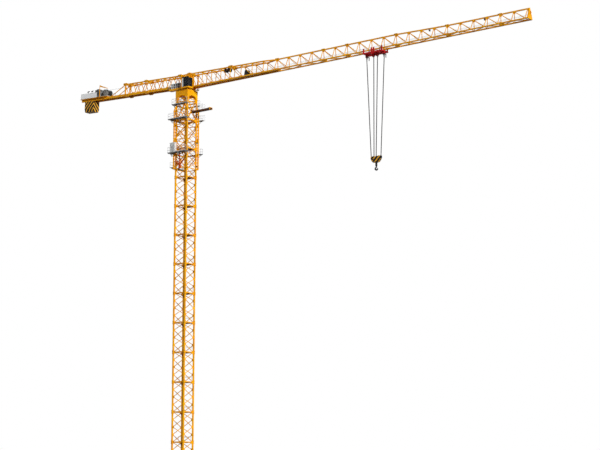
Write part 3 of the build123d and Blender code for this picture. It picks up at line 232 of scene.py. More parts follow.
RUST = (0.16, 0.06, 0.018)
YELLOW = (0.93, 0.44, 0.002)
YELLOW_SHADE = (0.76, 0.3, 0.003)
YELLOW_DIRT = (0.3, 0.1, 0.004)
BAND_BLACK = (0.008, 0.008, 0.009)
BAND_YELLOW = (0.8, 0.4, 0.03)
mats = {
    "crane_yellow": paint("crane_yellow_paint", YELLOW, YELLOW_SHADE, YELLOW_DIRT),
    "cab_yellow": paint("cab_yellow_paint", YELLOW, YELLOW_SHADE, YELLOW_DIRT, (0.25, 0.45)),
    "deck_grey": grating("deck_grating", (0.2, 0.205, 0.21), (0.05, 0.05, 0.05)),
    "rail_grey": paint("rail_galvanised", (0.52, 0.53, 0.54), (0.36, 0.37, 0.38), (0.2, 0.18, 0.16)),
    "cabinet_grey": paint("cabinet_paint", (0.74, 0.75, 0.74), (0.62, 0.63, 0.63), (0.25, 0.24, 0.22)),
    "ram_red": paint("ram_red_paint", (0.55, 0.07, 0.008), (0.38, 0.04, 0.006), RUST),
    "beam_brown": paint("beam_brown_paint", (0.1, 0.035, 0.008), (0.06, 0.02, 0.005),
                        (0.025, 0.012, 0.006)),
    "ballast_striped": striped("ballast_bands", BAND_BLACK, BAND_YELLOW, 0.078, (-1, 1, 1), 0.63, RUST),
    "board_white": paint("board_white_paint", (0.9, 0.91, 0.92), (0.84, 0.85, 0.86), (0.4, 0.38, 0.35),
                         (0.35, 0.5), 0.3, 0.68),
    "winch_grey": paint("winch_grey_paint", (0.3, 0.3, 0.29), (0.2, 0.2, 0.195), (0.05, 0.045, 0.04)),
    "winch_dark": paint("winch_dark_iron", (0.03, 0.029, 0.028), (0.016, 0.016, 0.016), (0.06, 0.03, 0.015)),
    "cab_glass": pane("cab_tinted_glass"),
    "trolley_red": paint("trolley_red_paint", (0.62, 0.014, 0.018), (0.36, 0.007, 0.01),
                         (0.04, 0.008, 0.006)),
    "rope_steel": rope_wire("wire_rope"),
    "block_striped": striped("block_bands", BAND_BLACK, BAND_YELLOW, 0.085, (-1, 0, 1), 0.6, RUST),
    "hook_black": paint("hook_black_steel", (0.012, 0.012, 0.013), (0.007, 0.007, 0.008),
                        (0.03, 0.018, 0.012)),
}

slot_of = {part["node"]: part["material_slot"] for part in frame["record"]["subparts"]}
for name, node in nodes.items():
    node.data.materials.clear()
    node.data.materials.append(mats[slot_of[name]])


# Stage: floor, light, camera

SQUARE = [(-1, -1), (1, -1), (1, 1), (-1, 1)]
FLOOR_HALF = 120.0
FLOOR_PALE = (0.86, 0.86, 0.85)
FLOOR_BOUNCE = (0.16, 0.15, 0.13)
FLOOR_GLOW = 0.3
FLOOR_SCALE = 0.6
WORLD_LIGHT = 0.24
CAMERA_LENS = 103.9
CAMERA_SENSOR = 36.0
CAMERA_REACH = 400.0
CAMERA_PLACE = (20.0, -23.12, 0.343)
CAMERA_TILT = 100.49
CAMERA_TURN = 37.0


def seen_directly(tree):
    """1 for rays that show the background: camera, mirror and glass rays."""
    path = tree.nodes.new("ShaderNodeLightPath")
    seen = 0.0
    for ray in ("Is Camera Ray", "Is Glossy Ray", "Is Transmission Ray"):
        seen = math_node(tree, "MAXIMUM", seen, path.outputs[ray])
    return seen


def stage_material(name, pale, bounce):
    """Floor that is pale where it is seen, gives back little light and takes the object's shadow."""
    material, tree, shader, coords = tree_of(name)
    tone = noise(tree, coords, FLOOR_SCALE)
    colour = ramp(tree, tone, [(0.3, tuple(0.97 * c for c in pale)), (0.7, pale)])
    seen = seen_directly(tree)
    surface(tree, shader, mixed(tree, seen, bounce, colour), 0.9, 0.5)
    feed(tree, WHITE, shader.inputs["Emission Color"])
    feed(tree, math_node(tree, "MULTIPLY", seen, FLOOR_GLOW), shader.inputs["Emission Strength"])
    return material


floor_mesh = bpy.data.meshes.new("floor")
floor_mesh.from_pydata([(x * FLOOR_HALF, y * FLOOR_HALF, 0.0) for x, y in SQUARE], [], [(0, 1, 2, 3)])
floor = bpy.data.objects.new("floor", floor_mesh)
floor_mesh.materials.append(stage_material("floor_pale", FLOOR_PALE, FLOOR_BOUNCE))
scene.collection.objects.link(floor)

world = bpy.data.worlds.new("studio")
world.use_nodes = True
scene.world = world
world_tree = world.node_tree
background = world_tree.nodes["Background"]
level = world_tree.nodes.new("ShaderNodeMapRange")
feed(world_tree, WORLD_LIGHT, level.inputs["To Min"])
feed(world_tree, seen_directly(world_tree), level.inputs["Value"])
feed(world_tree, WHITE, background.inputs["Color"])
feed(world_tree, level.outputs["Result"], background.inputs["Strength"])


def sun(name, towards, strength, angle):
    lamp = bpy.data.lights.new(name, "SUN")
    lamp.energy = strength
    lamp.angle = math.radians(angle)
    holder = bpy.data.objects.new(name, lamp)
    holder.rotation_euler = Vector(towards).to_track_quat("-Z", "Y").to_euler()
    scene.collection.objects.link(holder)


sun("key", (-0.9, 0.34, -0.16), 3.4, 6)
sun("fill", (0.6, 0.7, -0.2), 0.25, 60)
sun("back", (0.6, -0.7, -0.4), 1.2, 40)

camera_data = bpy.data.cameras.new("camera")
camera_data.lens = CAMERA_LENS
camera_data.sensor_width = CAMERA_SENSOR
camera_data.clip_end = CAMERA_REACH
camera = bpy.data.objects.new("camera", camera_data)
camera.location = CAMERA_PLACE
camera.rotation_euler = (math.radians(CAMERA_TILT), 0.0, math.radians(CAMERA_TURN))
scene.collection.objects.link(camera)
scene.camera = camera
scene.view_settings.view_transform = "Standard"


# Mesh helpers: a piece is one mesh of closed forms, in the shared frame

# Body that turns on the bearing ring: head, jibs, cab and all that is fixed to them
UPPER = "superstructure"


def circle(radius, count):
    """Points around a circle."""
    turns = [2 * math.pi * i / count for i in range(count)]
    return [(radius * math.cos(t), radius * math.sin(t)) for t in turns]


class Piece:
    def __init__(self):
        self.bm = bmesh.new()

    def hull(self, rings):
        """Closed skin over rings of points, ends capped."""
        made = [[self.bm.verts.new(p) for p in ring] for ring in rings]
        for a, b in zip(made, made[1:]):
            for i in range(len(a)):
                j = (i + 1) % len(a)
                self.bm.faces.new((a[i], a[j], b[j], b[i]))
        self.bm.faces.new(list(reversed(made[0])))
        self.bm.faces.new(made[-1])

    def box(self, low, high):
        (x0, y0, z0), (x1, y1, z1) = low, high
        ring = [(x0, y0), (x1, y0), (x1, y1), (x0, y1)]
        self.hull([[(x, y, z0) for x, y in ring], [(x, y, z1) for x, y in ring]])

    def block(self, centre, size):
        c, h = Vector(centre), Vector(size) / 2
        self.box(c - h, c + h)

    def bar(self, start, end, width, depth):
        """Square-edged bar; width lies level, depth stands across it."""
        a, b = Vector(start), Vector(end)
        along = (b - a).normalized()
        side = along.cross(Vector((0, 0, 1)))
        if side.length < 1e-6:
            side = Vector((1, 0, 0))
        side.normalize()
        top = side.cross(along)
        offsets = [side * (u * width / 2) + top * (v * depth / 2) for u, v in SQUARE]
        self.hull([[a + o for o in offsets], [b + o for o in offsets]])

    def tube(self, start, end, radius, sides=8):
        a, b = Vector(start), Vector(end)
        along = (b - a).normalized()
        side = along.orthogonal().normalized()
        other = along.cross(side)
        ring = [side * u + other * v for u, v in circle(radius, sides)]
        self.hull([[a + o for o in ring], [b + o for o in ring]])

    def post(self, x, y, low, high, radius, sides=8):
        """Upright tube."""
        self.tube((x, y, low), (x, y, high), radius, sides)

    def axle(self, x, z, left, right, radius, sides=8):
        """Tube across the crane, along y."""
        self.tube((x, left, z), (x, right, z), radius, sides)

    def run(self, points, radius, sides=6):
        """Tube through several points."""
        for a, b in zip(points, points[1:]):
            self.tube(a, b, radius, sides)

    def plate(self, outline, thick):
        """Flat plate: outline points, thickened evenly both ways along their normal."""
        pts = [Vector(p) for p in outline]
        normal = (pts[1] - pts[0]).cross(pts[2] - pts[1]).normalized() * (thick / 2)
        self.hull([[p - normal for p in pts], [p + normal for p in pts]])

    def done(self, name, body, slot, bevel=0.0, turn=None):
        """Make the object, with its material, bevel and body."""
        if turn:
            bmesh.ops.transform(self.bm, matrix=turn, verts=self.bm.verts)
        bmesh.ops.recalc_face_normals(self.bm, faces=self.bm.faces)
        mesh = bpy.data.meshes.new(name)
        self.bm.to_mesh(mesh)
        self.bm.free()
        obj = bpy.data.objects.new(name, mesh)
        scene.collection.objects.link(obj)
        mesh.materials.append(mats[slot])
        if bevel:
            edge = obj.modifiers.new("edge", "BEVEL")
            edge.width = bevel
            edge.segments = 1
            edge.limit_method = "ANGLE"
            edge.angle_limit = math.radians(40)
        if body:
            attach(obj, body)
        return obj


def corner_frame(node):
    """Frame at the low corner of a node's box, and the size of that box."""
    low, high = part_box(node)
    return Matrix.Translation(low), high - low


# Rope falls: four pairs of ropes, straight from the trolley to the hook block

rope_low, rope_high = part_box("hoist_ropes")
trolley_low, trolley_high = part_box("trolley_frame")
trolley_x = (trolley_low.x + trolley_high.x) / 2
ROPE_RADIUS = 0.0042
PAIR_HALF = 0.0055
FALL_SIDE = 0.009
FALL_TOPS = (-0.172, -0.040, 0.048, 0.172)
FALL_FEET = (-0.096, -0.052, 0.004, 0.088)
falls = Piece()
for i, (top, foot) in enumerate(zip(FALL_TOPS, FALL_FEET)):
    side = -FALL_SIDE if i % 2 == 0 else FALL_SIDE
    for y in (side - PAIR_HALF, side + PAIR_HALF):
        falls.tube((trolley_x + top, y, rope_high.z), (trolley_x + foot, y, rope_low.z), ROPE_RADIUS, 10)
rope_falls = falls.done("rope_falls", None, "rope_steel")
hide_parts("hoist_ropes")
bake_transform(rope_falls)


# Mast: chord joints, haunches, gussets, ladder

mast_low, mast_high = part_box("mast_near_side")
CHORD = mast_high.y - mast_low.y
mast_half = mast_high.x - CHORD / 2
mast_clear = mast_half - CHORD / 2
mast_outer = mast_half + CHORD / 2
SECTIONS = 15
BARS_PER_SECTION = 4
section = (mast_high.z - mast_low.z) / SECTIONS
joints = [mast_low.z + section * i for i in range(SECTIONS + 1)]
CORNERS = [(sx, sy) for sx in (-1, 1) for sy in (-1, 1)]
FACES = [(1, 0), (-1, 0), (0, 1), (0, -1)]
RAIL = 0.0018


def on_face(face, across, z, out):
    """Point on a mast face: across runs along the face, out is the distance from the axis."""
    fx, fy = face
    return (fx * out + abs(fy) * across, fy * out + abs(fx) * across, z)


def face_size(face, out, across, height):
    """Size of a block on a mast face, as on_face counts."""
    return (out, across, height) if face[0] else (across, out, height)


def face_bar(piece, face, out, start, end, width, depth):
    """Bar on a mast face; its ends are pairs of across and height."""
    piece.bar(on_face(face, *start, out), on_face(face, *end, out), width, depth)


def mast_joints():
    """Bolted collars below and above each chord joint."""
    collars = Piece()
    bolts = Piece()
    width = 0.033
    height = 0.03
    step = 0.017
    bolt_radius = 0.005
    bolt_reach = width / 2 + 0.003
    for z in joints:
        for sx, sy in CORNERS:
            x, y = sx * mast_half, sy * mast_half
            for level in (z - step, z + step):
                if level < joints[0]:
                    continue
                collars.block((x, y, level), (width, width, height))
                bolts.tube((x, y, level), (x + sx * bolt_reach, y, level), bolt_radius, 6)
                bolts.tube((x, y, level), (x, y + sy * bolt_reach, level), bolt_radius, 6)
    collars.done("mast_joint_collars", "tower", "crane_yellow", 0.002)
    bolts.done("mast_joint_bolts", "tower", "winch_dark")


def mast_rings():
    """Flange and haunches under the ring of each section joint."""
    rings = Piece()
    flange = 0.04
    thick = 0.006
    arm = 0.058
    waist = 0.016
    haunch_thick = 0.008
    haunch = [(0.0, 0.0), (arm, 0.0), (waist, waist), (0.0, arm)]
    for z in joints[1:]:
        top = z - thick
        for face in FACES:
            centre = on_face(face, 0.0, top, mast_half - flange / 2)
            rings.block(centre, face_size(face, flange, 2 * mast_clear, thick))
            for side in (-1, 1):
                outline = [on_face(face, side * (mast_clear - u), top - w, mast_half) for u, w in haunch]
                rings.plate(outline, haunch_thick)
    rings.done("mast_ring_haunches", "tower", "crane_yellow")


def mast_gussets():
    """Plates where the lacing meets the chords."""
    plates = Piece()
    thick = 0.006
    width = 0.03
    height = 0.044
    inset = 0.012
    count = SECTIONS * BARS_PER_SECTION
    step = (mast_high.z - mast_low.z) / count
    for k in range(1, count):
        z = mast_low.z + step * k
        for face in FACES:
            first = -1 if face[1] else 1
            side = first if k % 2 == 0 else -first
            centre = on_face(face, side * (mast_clear - inset), z, mast_half)
            plates.block(centre, face_size(face, thick, width, height))
    plates.done("mast_lacing_gussets", "tower", "crane_yellow")


def mast_ladder():
    """Ladder up the inside of the mast."""
    ladder = Piece()
    x = -0.045
    y = 0.06
    half = 0.021
    foot = 0.05
    head = mast_high.z - 0.01
    rung_step = 0.03
    rung_radius = 0.0024
    for side in (-half, half):
        ladder.block((x + side, y, (foot + head) / 2), (0.006, 0.008, head - foot))
    for i in range(int(mast_high.z / rung_step) - 1):
        z = foot + rung_step * i
        ladder.tube((x - half, y, z), (x + half, y, z), rung_radius, 6)
    ladder.done("mast_ladder", "tower", "winch_dark")


def mast_landings():
    """Landing with a guard at each section joint, around the ladder."""
    floors = Piece()
    guards = Piece()
    reach = 0.105
    front = -0.1
    middle = 0.075
    back = 0.112
    base = 0.004
    top = 0.009
    rail_height = 0.092
    rail_radius = 0.0028
    post_radius = 0.0024
    corners = [(-0.1, 0.108), (0.1, 0.108), (0.1, front), (-0.004, front)]
    for z in joints[1:-1]:
        floors.box((-reach, middle, z + base), (reach, back, z + top))
        floors.box((0.0, front, z + base), (reach, middle, z + top))
        rail = z + rail_height
        guards.run([(u, v, rail) for u, v in corners], rail_radius)
        for u, v in corners:
            guards.post(u, v, z + top, rail, post_radius, 6)
    floors.done("mast_landings", "tower", "deck_grey")
    guards.done("mast_landing_guards", "tower", "rail_grey")


# Base: gussets and anchor bolts on the foot plates

def base_details():
    low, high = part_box("base_frame")
    gussets = Piece()
    bolts = Piece()
    lift = 0.085
    reach = 0.036
    spread = 0.006
    thick = 0.004
    bolt = high.x - 0.018
    # Washer, nut and stud: start, end, radius, sides
    stack = ((0.0, 0.002, 0.008, 12), (0.002, 0.009, 0.0062, 6), (0.009, 0.018, 0.0035, 10))
    triangle = [(mast_outer, high.z), (mast_outer + reach, high.z), (mast_outer, high.z + lift)]
    for sx, sy in CORNERS:
        for line in (mast_half - spread, mast_half + spread):
            gussets.plate([(sx * u, sy * line, z) for u, z in triangle], thick)
            gussets.plate([(sx * line, sy * u, z) for u, z in triangle], thick)
        for start, end, radius, sides in stack:
            bolts.post(sx * bolt, sy * bolt, high.z + start, high.z + end, radius, sides)
    gussets.done("base_gussets", "tower", "crane_yellow")
    bolts.done("anchor_nuts", "tower", "winch_dark")


# Climbing cage: battens, cross lacing, struts to the mast, guide rollers

cage_low, cage_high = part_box("cage_near_side")
POST = 0.02
cage_outer = cage_high.x
cage_half = cage_outer - POST / 2


def cage_battens():
    """Battens around the posts, and stubs beside them towards the mast."""
    battens = Piece()
    count = 20
    step = (cage_high.z - cage_low.z) / count
    width = POST + 0.005
    stub_x = mast_half + 0.012
    for i in range(count):
        z = cage_low.z + step * (i + 0.5)
        for sx, sy in CORNERS:
            y = sy * cage_half
            battens.block((sx * cage_half, y, z), (width, width, 0.012))
            battens.block((sx * stub_x, y, z), (0.05, 0.008, 0.009))
    battens.done("cage_post_battens", "tower", "crane_yellow")


def cage_lacing():
    """Lacing of the two sides and the rear, and the struts at the top."""
    lacing = Piece()
    panels = 4
    margin = 0.006
    panel = (cage_high.z - cage_low.z - 2 * margin) / panels
    reach = cage_half - POST / 2
    brace = 0.007
    level = (0.006, 0.008)
    for i in range(panels):
        low = cage_low.z + margin + panel * i
        start, end = (reach, -reach) if i % 2 == 0 else (-reach, reach)
        mid = low + panel / 2
        for face in ((0, -1), (0, 1), (-1, 0)):
            face_bar(lacing, face, cage_half, (start, low), (end, low + panel), brace, brace)
            face_bar(lacing, face, cage_half, (-reach, mid), (reach, mid), *level)
    strut = 0.016
    knee_x = mast_half + 0.006
    head_x = mast_half - 0.01
    head_y = mast_half + 0.014
    top = cage_high.z
    for sx, sy in CORNERS:
        y = sy * cage_half
        lacing.bar((sx * cage_half, y, top - 0.008), (sx * knee_x, y, top + 0.05), strut, strut)
        lacing.bar((sx * knee_x, y, top + 0.046), (sx * head_x, sy * head_y, top + 0.07), strut, 0.012)
    lacing.done("cage_cross_lacing", "tower", "crane_yellow")


def cage_rollers():
    rollers = Piece()
    x = mast_half + 0.021
    half = 0.012
    radius = 0.0095
    for sx, sy in CORNERS:
        for z in (cage_low.z + 0.06, cage_low.z + 0.5, cage_high.z - 0.06):
            rollers.axle(sx * x, z, sy * (mast_half - half), sy * (mast_half + half), radius, 12)
    rollers.done("cage_guide_rollers", "tower", "winch_dark")


# Platforms: kick boards, bearers, brackets, gates

def platform_details():
    boards = Piece()
    frames = Piece()
    gates = Piece()
    kick = 0.008
    kick_thick = 0.003
    bearer = 0.008
    arm = 0.007
    arm_drop = 0.06
    inset = 0.02
    edge_gap = 0.004
    gate_rails = (0.045, 0.095)
    for name in ("upper", "ring", "main"):
        low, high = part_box(name + "_platform")
        inner = mast_outer if name == "upper" else cage_outer
        middle = (low.x + high.x) / 2
        length = high.x - low.x
        gate_x = high.x - edge_gap
        for sy in (-1, 1):
            edge = low.y if sy < 0 else high.y
            rim = edge - sy * inset
            boards.block((middle, edge - sy * kick_thick / 2, high.z + kick / 2), (length, kick_thick, kick))
            for line in (rim, sy * (inner + 0.006)):
                frames.block((middle, line, low.z - bearer / 2), (length, bearer, bearer))
            for x in (low.x + 0.05, 0.0, high.x - 0.03):
                frames.bar((x, sy * inner, low.z - arm_drop), (x, rim, low.z - bearer), arm, arm)
                frames.block((x, (edge + sy * inner) / 2, low.z - 0.005), (0.009, abs(edge) - inner, 0.01))
            post_y = sy * (inner + edge_gap)
            for rise in gate_rails:
                gates.axle(gate_x, high.z + rise, post_y, edge - sy * edge_gap, RAIL, 6)
            gates.post(gate_x, post_y, high.z, high.z + gate_rails[-1], RAIL, 6)
        boards.block((low.x + kick_thick / 2, 0.0, high.z + kick / 2), (kick_thick, high.y - low.y, kick))
        for y in (-0.155, -0.05, 0.05, 0.155):
            frames.bar((-inner, y, low.z - arm_drop), (low.x + inset, y, low.z - bearer), arm, arm)

    # Step at the far end of the ring platform, beside the entry beam
    low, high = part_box("ring_platform")
    step_end = high.x + 0.042
    rail_x = step_end - 0.003
    rail_y = high.y - 0.003
    rail_z = high.z + 0.098
    boards.box((high.x, cage_outer + 0.002, low.z), (step_end, high.y, high.z))
    gates.post(rail_x, rail_y, high.z, high.z + 0.1, RAIL, 6)
    gates.tube((high.x - edge_gap, rail_y, rail_z), (rail_x, rail_y, rail_z), RAIL, 6)

    low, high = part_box("lower_platform")
    boards.block((low.x + kick_thick / 2, 0.0, high.z + kick / 2), (kick_thick, high.y - low.y, kick))
    for y in (-0.15, 0.0, 0.15):
        frames.bar((-cage_outer, y, low.z - 0.035), (low.x + 0.012, y, low.z), arm, arm)
    boards.done("platform_kick_boards", "tower", "rail_grey")
    frames.done("platform_brackets", "tower", "winch_grey")
    gates.done("platform_gates", "tower", "rail_grey")


# Climbing gear: power pack, ram with its hoses, entry beam

def power_pack_details():
    """Doors with louvres and handles, lid, filler cap."""
    place, size = corner_frame("power_pack")
    doors = Piece()
    louvres = Piece()
    count = 3
    width = size.x / count
    gap = 0.003
    margin = 0.006
    proud = 0.003
    for i in range(count):
        left = width * i + gap
        right = left + width - 2 * gap
        doors.box((left, -proud, 0.012), (right, 0.0, size.z - 0.016))
        for k in range(5):
            z = 0.1 + 0.011 * k
            louvres.box((left + margin, -0.0045, z), (right - margin, -0.0025, z + 0.005))
        louvres.box((left + gap, -0.007, 0.06), (left + margin, -proud, 0.08))
    doors.box((-0.004, -0.005, size.z - 0.01), (size.x + 0.004, size.y, size.z + 0.003))
    louvres.post(0.03, size.y / 2, size.z, size.z + 0.016, 0.008)
    doors.done("power_pack_doors", "tower", "cabinet_grey", 0.001, place)
    louvres.done("power_pack_louvres", "tower", "winch_grey", 0.0, place)


def ram_details():
    """Collars of the ram and two hoses from the power pack."""
    pack_low, pack_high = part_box("power_pack")
    low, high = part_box("climbing_ram")
    fittings = Piece()
    y = (low.y + high.y) / 2
    hose_radius = 0.0032
    for drop, radius, height in ((0.03, 0.0135, 0.018), (0.13, 0.013, 0.01)):
        z = high.z - drop
        fittings.post(0, y, z, z + height, radius, 14)
    for out, drop in ((0.03, 0.02), (0.05, 0.12)):
        start = Vector((pack_high.x - 0.004, pack_low.y + out / 2, pack_low.z + 0.03))
        bend = start + Vector((0.03, -0.004, -0.02))
        end = high.z - drop
        fittings.run([start, bend, (0.02, y - 0.012, end + 0.03), (0.006, y - 0.01, end)], hose_radius)
    fittings.done("ram_fittings", "tower", "winch_dark")


def entry_beam_details():
    """End stop of the section entry beam and the rails on it."""
    low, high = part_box("entry_beam")
    stop = Piece()
    stop.box((high.x - 0.014, low.y - 0.006, low.z - 0.002), (high.x - 0.002, high.y + 0.006, low.z + 0.04))
    stop.box((high.x - 0.06, low.y - 0.002, low.z + 0.032), (high.x - 0.014, high.y + 0.002, low.z + 0.038))
    stop.done("entry_beam_stop", "tower", "crane_yellow", 0.001)
    rail = Piece()
    inset = 0.002
    posts = (0.2, 0.27, 0.34, 0.41)
    levels = (low.z + 0.08, low.z + 0.125)
    for y in (low.y + inset, high.y - inset):
        for x in posts:
            rail.post(x, y, low.z + 0.03, levels[-1], 0.002, 6)
        for z in levels:
            rail.tube((posts[0], y, z), (posts[-1], y, z), RAIL, 6)
    rail.done("entry_beam_rail", "tower", "rail_grey")


# Slewing support: flanges and rims of the arched box, leg flanges

def arched_box_trim(trim):
    """Top flange, stiffeners and arch rims of the box, and a cross bar below it."""
    low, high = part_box("slew_ring_box")
    half = high.x
    seat = high.z - 0.006
    proud = half + 0.001
    rim_out = half - 0.004
    arch_half = 0.1
    arch_rise = 0.062
    steps = 12
    turns = [math.pi * k / steps for k in range(steps + 1)]
    arch = [(arch_half * math.cos(t), low.z + arch_rise * math.sin(t)) for t in turns]
    cross = low.z - 0.055
    for face in FACES:
        trim.block(on_face(face, 0.0, seat - 0.006, proud), face_size(face, 0.006, 2 * half + 0.006, 0.012))
        for start, end in zip(arch, arch[1:]):
            face_bar(trim, face, rim_out, start, end, 0.014, 0.006)
        for across in (-0.05, 0.0, 0.05):
            trim.block(on_face(face, across, seat - 0.035, proud), face_size(face, 0.004, 0.006, 0.05))
        face_bar(trim, face, mast_half, (-mast_clear, cross), (mast_clear, cross), 0.012, 0.016)


def leg_trim(trim):
    """Flanges and corner plates of the four legs."""
    low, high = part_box("slew_support_legs")
    flange = (0.035, 0.035, 0.012)
    top = high.z - 0.001
    thick = 0.008
    triangle = [(mast_clear, top), (mast_clear - 0.05, top), (mast_clear, top - 0.06)]
    for sx, sy in CORNERS:
        for z in (low.z + 0.036, high.z - 0.006):
            trim.block((sx * mast_half, sy * mast_half, z), flange)
        trim.plate([(sx * u, sy * mast_half, z) for u, z in triangle], thick)
        trim.plate([(sx * mast_half, sy * u, z) for u, z in triangle], thick)


def slewing_support():
    trim = Piece()
    arched_box_trim(trim)
    leg_trim(trim)
    trim.done("slewing_support_trim", "tower", "crane_yellow")


mast_joints()
mast_rings()
mast_gussets()
mast_ladder()
mast_landings()
base_details()
cage_battens()
cage_lacing()
cage_rollers()
platform_details()
power_pack_details()
ram_details()
entry_beam_details()
slewing_support()


# Jib: pinned joints, node plates, walkway, rope pulleys

head_low, head_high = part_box("tower_head")
top_low, top_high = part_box("jib_top_chord")
JIB_CHORD = 0.02
jib_base = head_low.z
jib_half = head_high.y - JIB_CHORD / 2
low_axis = jib_base + JIB_CHORD / 2
head_axis = head_high.z - JIB_CHORD / 2
top_axis = top_high.z - JIB_CHORD / 2
tip_axis = top_low.z + JIB_CHORD / 2
root_start, root_end = head_high.x, top_low.x
HEEL = root_start + 0.136
HEEL_BAY = 0.216
JIB_BAY = 0.25
OUTER_BAYS = 20
NECK = root_end + JIB_BAY
TAPER = (NECK + 2.5, NECK + 3.5)
JOINTS = [NECK + 1.0, NECK + 1.5, NECK + 2.5, NECK + 3.5, NECK + 4.5]
INNER_JOINT = NECK - 1.0
NODE_PLATE = (0.04, 0.012, 0.018)
# Outline of a fork lug in shares of its length and height
LUG = [(-0.5, -0.26), (-0.3, -0.5), (0.3, -0.5), (0.5, -0.26),
       (0.5, 0.26), (0.3, 0.5), (-0.3, 0.5), (-0.5, 0.26)]
LUG_WIDTH = 0.03
TOP_LUG_WIDTH = 0.028


def root_top(x):
    """Height of the root's top chords."""
    return head_axis + (top_axis - head_axis) * (x - root_start) / (root_end - root_start)


def outer_top(x):
    """Height of the outer jib's top chord."""
    share = min(max((x - TAPER[0]) / (TAPER[1] - TAPER[0]), 0.0), 1.0)
    return top_axis + (tip_axis - top_axis) * share


def lug(plates, pins, place, length, height, width=LUG_WIDTH):
    """Fork lug of a chord joint with its two pins."""
    x, y, z = place
    plates.plate([(x + u * length, y, z + w * height) for u, w in LUG], width)
    pin_half = 0.62 * width
    for share in (-0.22, 0.22):
        pins.axle(x + share * length, z, y - pin_half, y + pin_half, 0.007, 10)


def jib_joints():
    """Fork lugs of the chord joints, plates of the heel post."""
    plates = Piece()
    pins = Piece()
    head_joint = root_start + 0.035
    for y in (-jib_half, jib_half):
        lug(plates, pins, (head_joint, y, root_top(head_joint)), 0.1, 0.05)
        lug(plates, pins, (root_start + 0.04, y, low_axis), 0.09, 0.04)
        lug(plates, pins, (INNER_JOINT, y, root_top(INNER_JOINT) + 0.004), 0.11, 0.046)
        plates.block((HEEL, y, root_top(HEEL) - 0.018), (0.05, 0.024, 0.03))
        plates.block((HEEL, y, low_axis + 0.12), (0.02, 0.018, 0.22))
        # The trolley's wheels run on the outer part of the chord, so these plates stay inside it
        inner = y * 0.75
        for x in [INNER_JOINT, NECK] + JOINTS:
            plates.block((x, inner, low_axis + 0.008), (0.09, 0.009, 0.036))
    lug(plates, pins, (NECK, 0, top_axis + 0.002), 0.1, 0.042, TOP_LUG_WIDTH)
    for x in JOINTS:
        lug(plates, pins, (x, 0, outer_top(x) + 0.001), 0.085, 0.036, TOP_LUG_WIDTH)
    plates.done("jib_joint_lugs", UPPER, "crane_yellow", 0.0015)
    pins.done("jib_joint_pins", UPPER, "winch_dark")


def jib_node_plates():
    """Gussets at the lacing nodes of the top chord and of the root's chords."""
    plates = Piece()
    thick = 0.004
    # Gusset corners: along the chord, out from its middle, down from its axis
    gusset = [(-0.03, 0.006, 0.008), (0.03, 0.006, 0.008), (0.012, 0.015, 0.034), (-0.012, 0.015, 0.034)]
    for i in range(OUTER_BAYS):
        x = NECK + JIB_BAY * i
        for side in (-1, 1):
            plates.plate([(x + u, side * v, outer_top(x) - w) for u, v, w in gusset], thick)
    posts = [HEEL + HEEL_BAY * i for i in range(4)] + [INNER_JOINT + JIB_BAY * i for i in range(4)]
    for x in posts:
        for y in (-jib_half, jib_half):
            plates.block((x, y, root_top(x) - 0.014), NODE_PLATE)
            plates.block((x - 0.012, y, low_axis + 0.014), NODE_PLATE)
    plates.done("jib_node_plates", UPPER, "crane_yellow")


def jib_walkway():
    """Walk along the root, with a hand rope on posts."""
    walk = Piece()
    rail = Piece()
    winch_low, winch_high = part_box("trolley_winch")
    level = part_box("jib_bottom_bracing")[1].z + 0.0003
    half = jib_half - JIB_CHORD / 2
    gap = 0.01
    edge_thick = 0.004
    edge_height = 0.016
    for start, end in ((root_start + 0.05, winch_low.x - gap), (winch_high.x + gap, NECK)):
        walk.box((start, -half, level), (end, half, level + 0.004))
        for y in (-half + edge_thick, half - edge_thick):
            walk.box((start, y - edge_thick / 2, level), (end, y + edge_thick / 2, level + edge_height))
    first = root_start + 0.3
    spacing = 0.2
    count = 4
    rail_y = 0.02
    rail_z = level + 0.1
    for i in range(count):
        rail.post(first + spacing * i, rail_y, level, rail_z, RAIL, 6)
    rail.tube((first, rail_y, rail_z), (first + spacing * (count - 1), rail_y, rail_z), 0.0012, 6)
    walk.done("jib_walkway", UPPER, "crane_yellow")
    rail.done("jib_hand_rope", UPPER, "rail_grey")


def rope_gear():
    """Rope pulleys under the root's top chords, rollers along the jib, trolley ropes."""
    wheels = Piece()
    frames = Piece()
    ropes = Piece()
    for x, drop, radius in ((0.93, 0.045, 0.026), (1.005, 0.038, 0.03)):
        top = root_top(x)
        z = top - drop
        for y in (-0.03, 0.0, 0.03):
            wheels.axle(x, z, y - 0.006, y + 0.006, radius, 20)
            wheels.axle(x, z, y - 0.008, y + 0.008, 0.011, 10)
        for y in (-0.044, -0.015, 0.015, 0.044):
            frames.bar((x, y, z - 0.012), (x, y, top), 0.016, 0.004)
        frames.axle(x, top, -jib_half, jib_half, 0.006)
    for x in (5.24, 6.29):
        top = outer_top(x)
        z = top - 0.034
        wheels.axle(x, z, -0.012, 0.012, 0.012, 14)
        for y in (-0.014, 0.014):
            frames.bar((x, y, z - 0.004), (x, y, top), 0.012, 0.003)
    winch_low, winch_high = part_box("trolley_winch")
    tip_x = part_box("jib_tip")[0].x
    rope_z = jib_base + 0.07
    for y, z in ((-0.02, winch_high.z - 0.004), (0.02, winch_low.z + 0.06)):
        start = (winch_high.x - 0.045, y, z)
        ropes.run([start, (winch_high.x + 0.4, y, rope_z), (tip_x, y, rope_z)], 0.0012)
    wheels.done("jib_rope_wheels", UPPER, "winch_dark")
    frames.done("jib_rope_frames", UPPER, "beam_brown")
    ropes.done("jib_trolley_ropes", UPPER, "rope_steel")


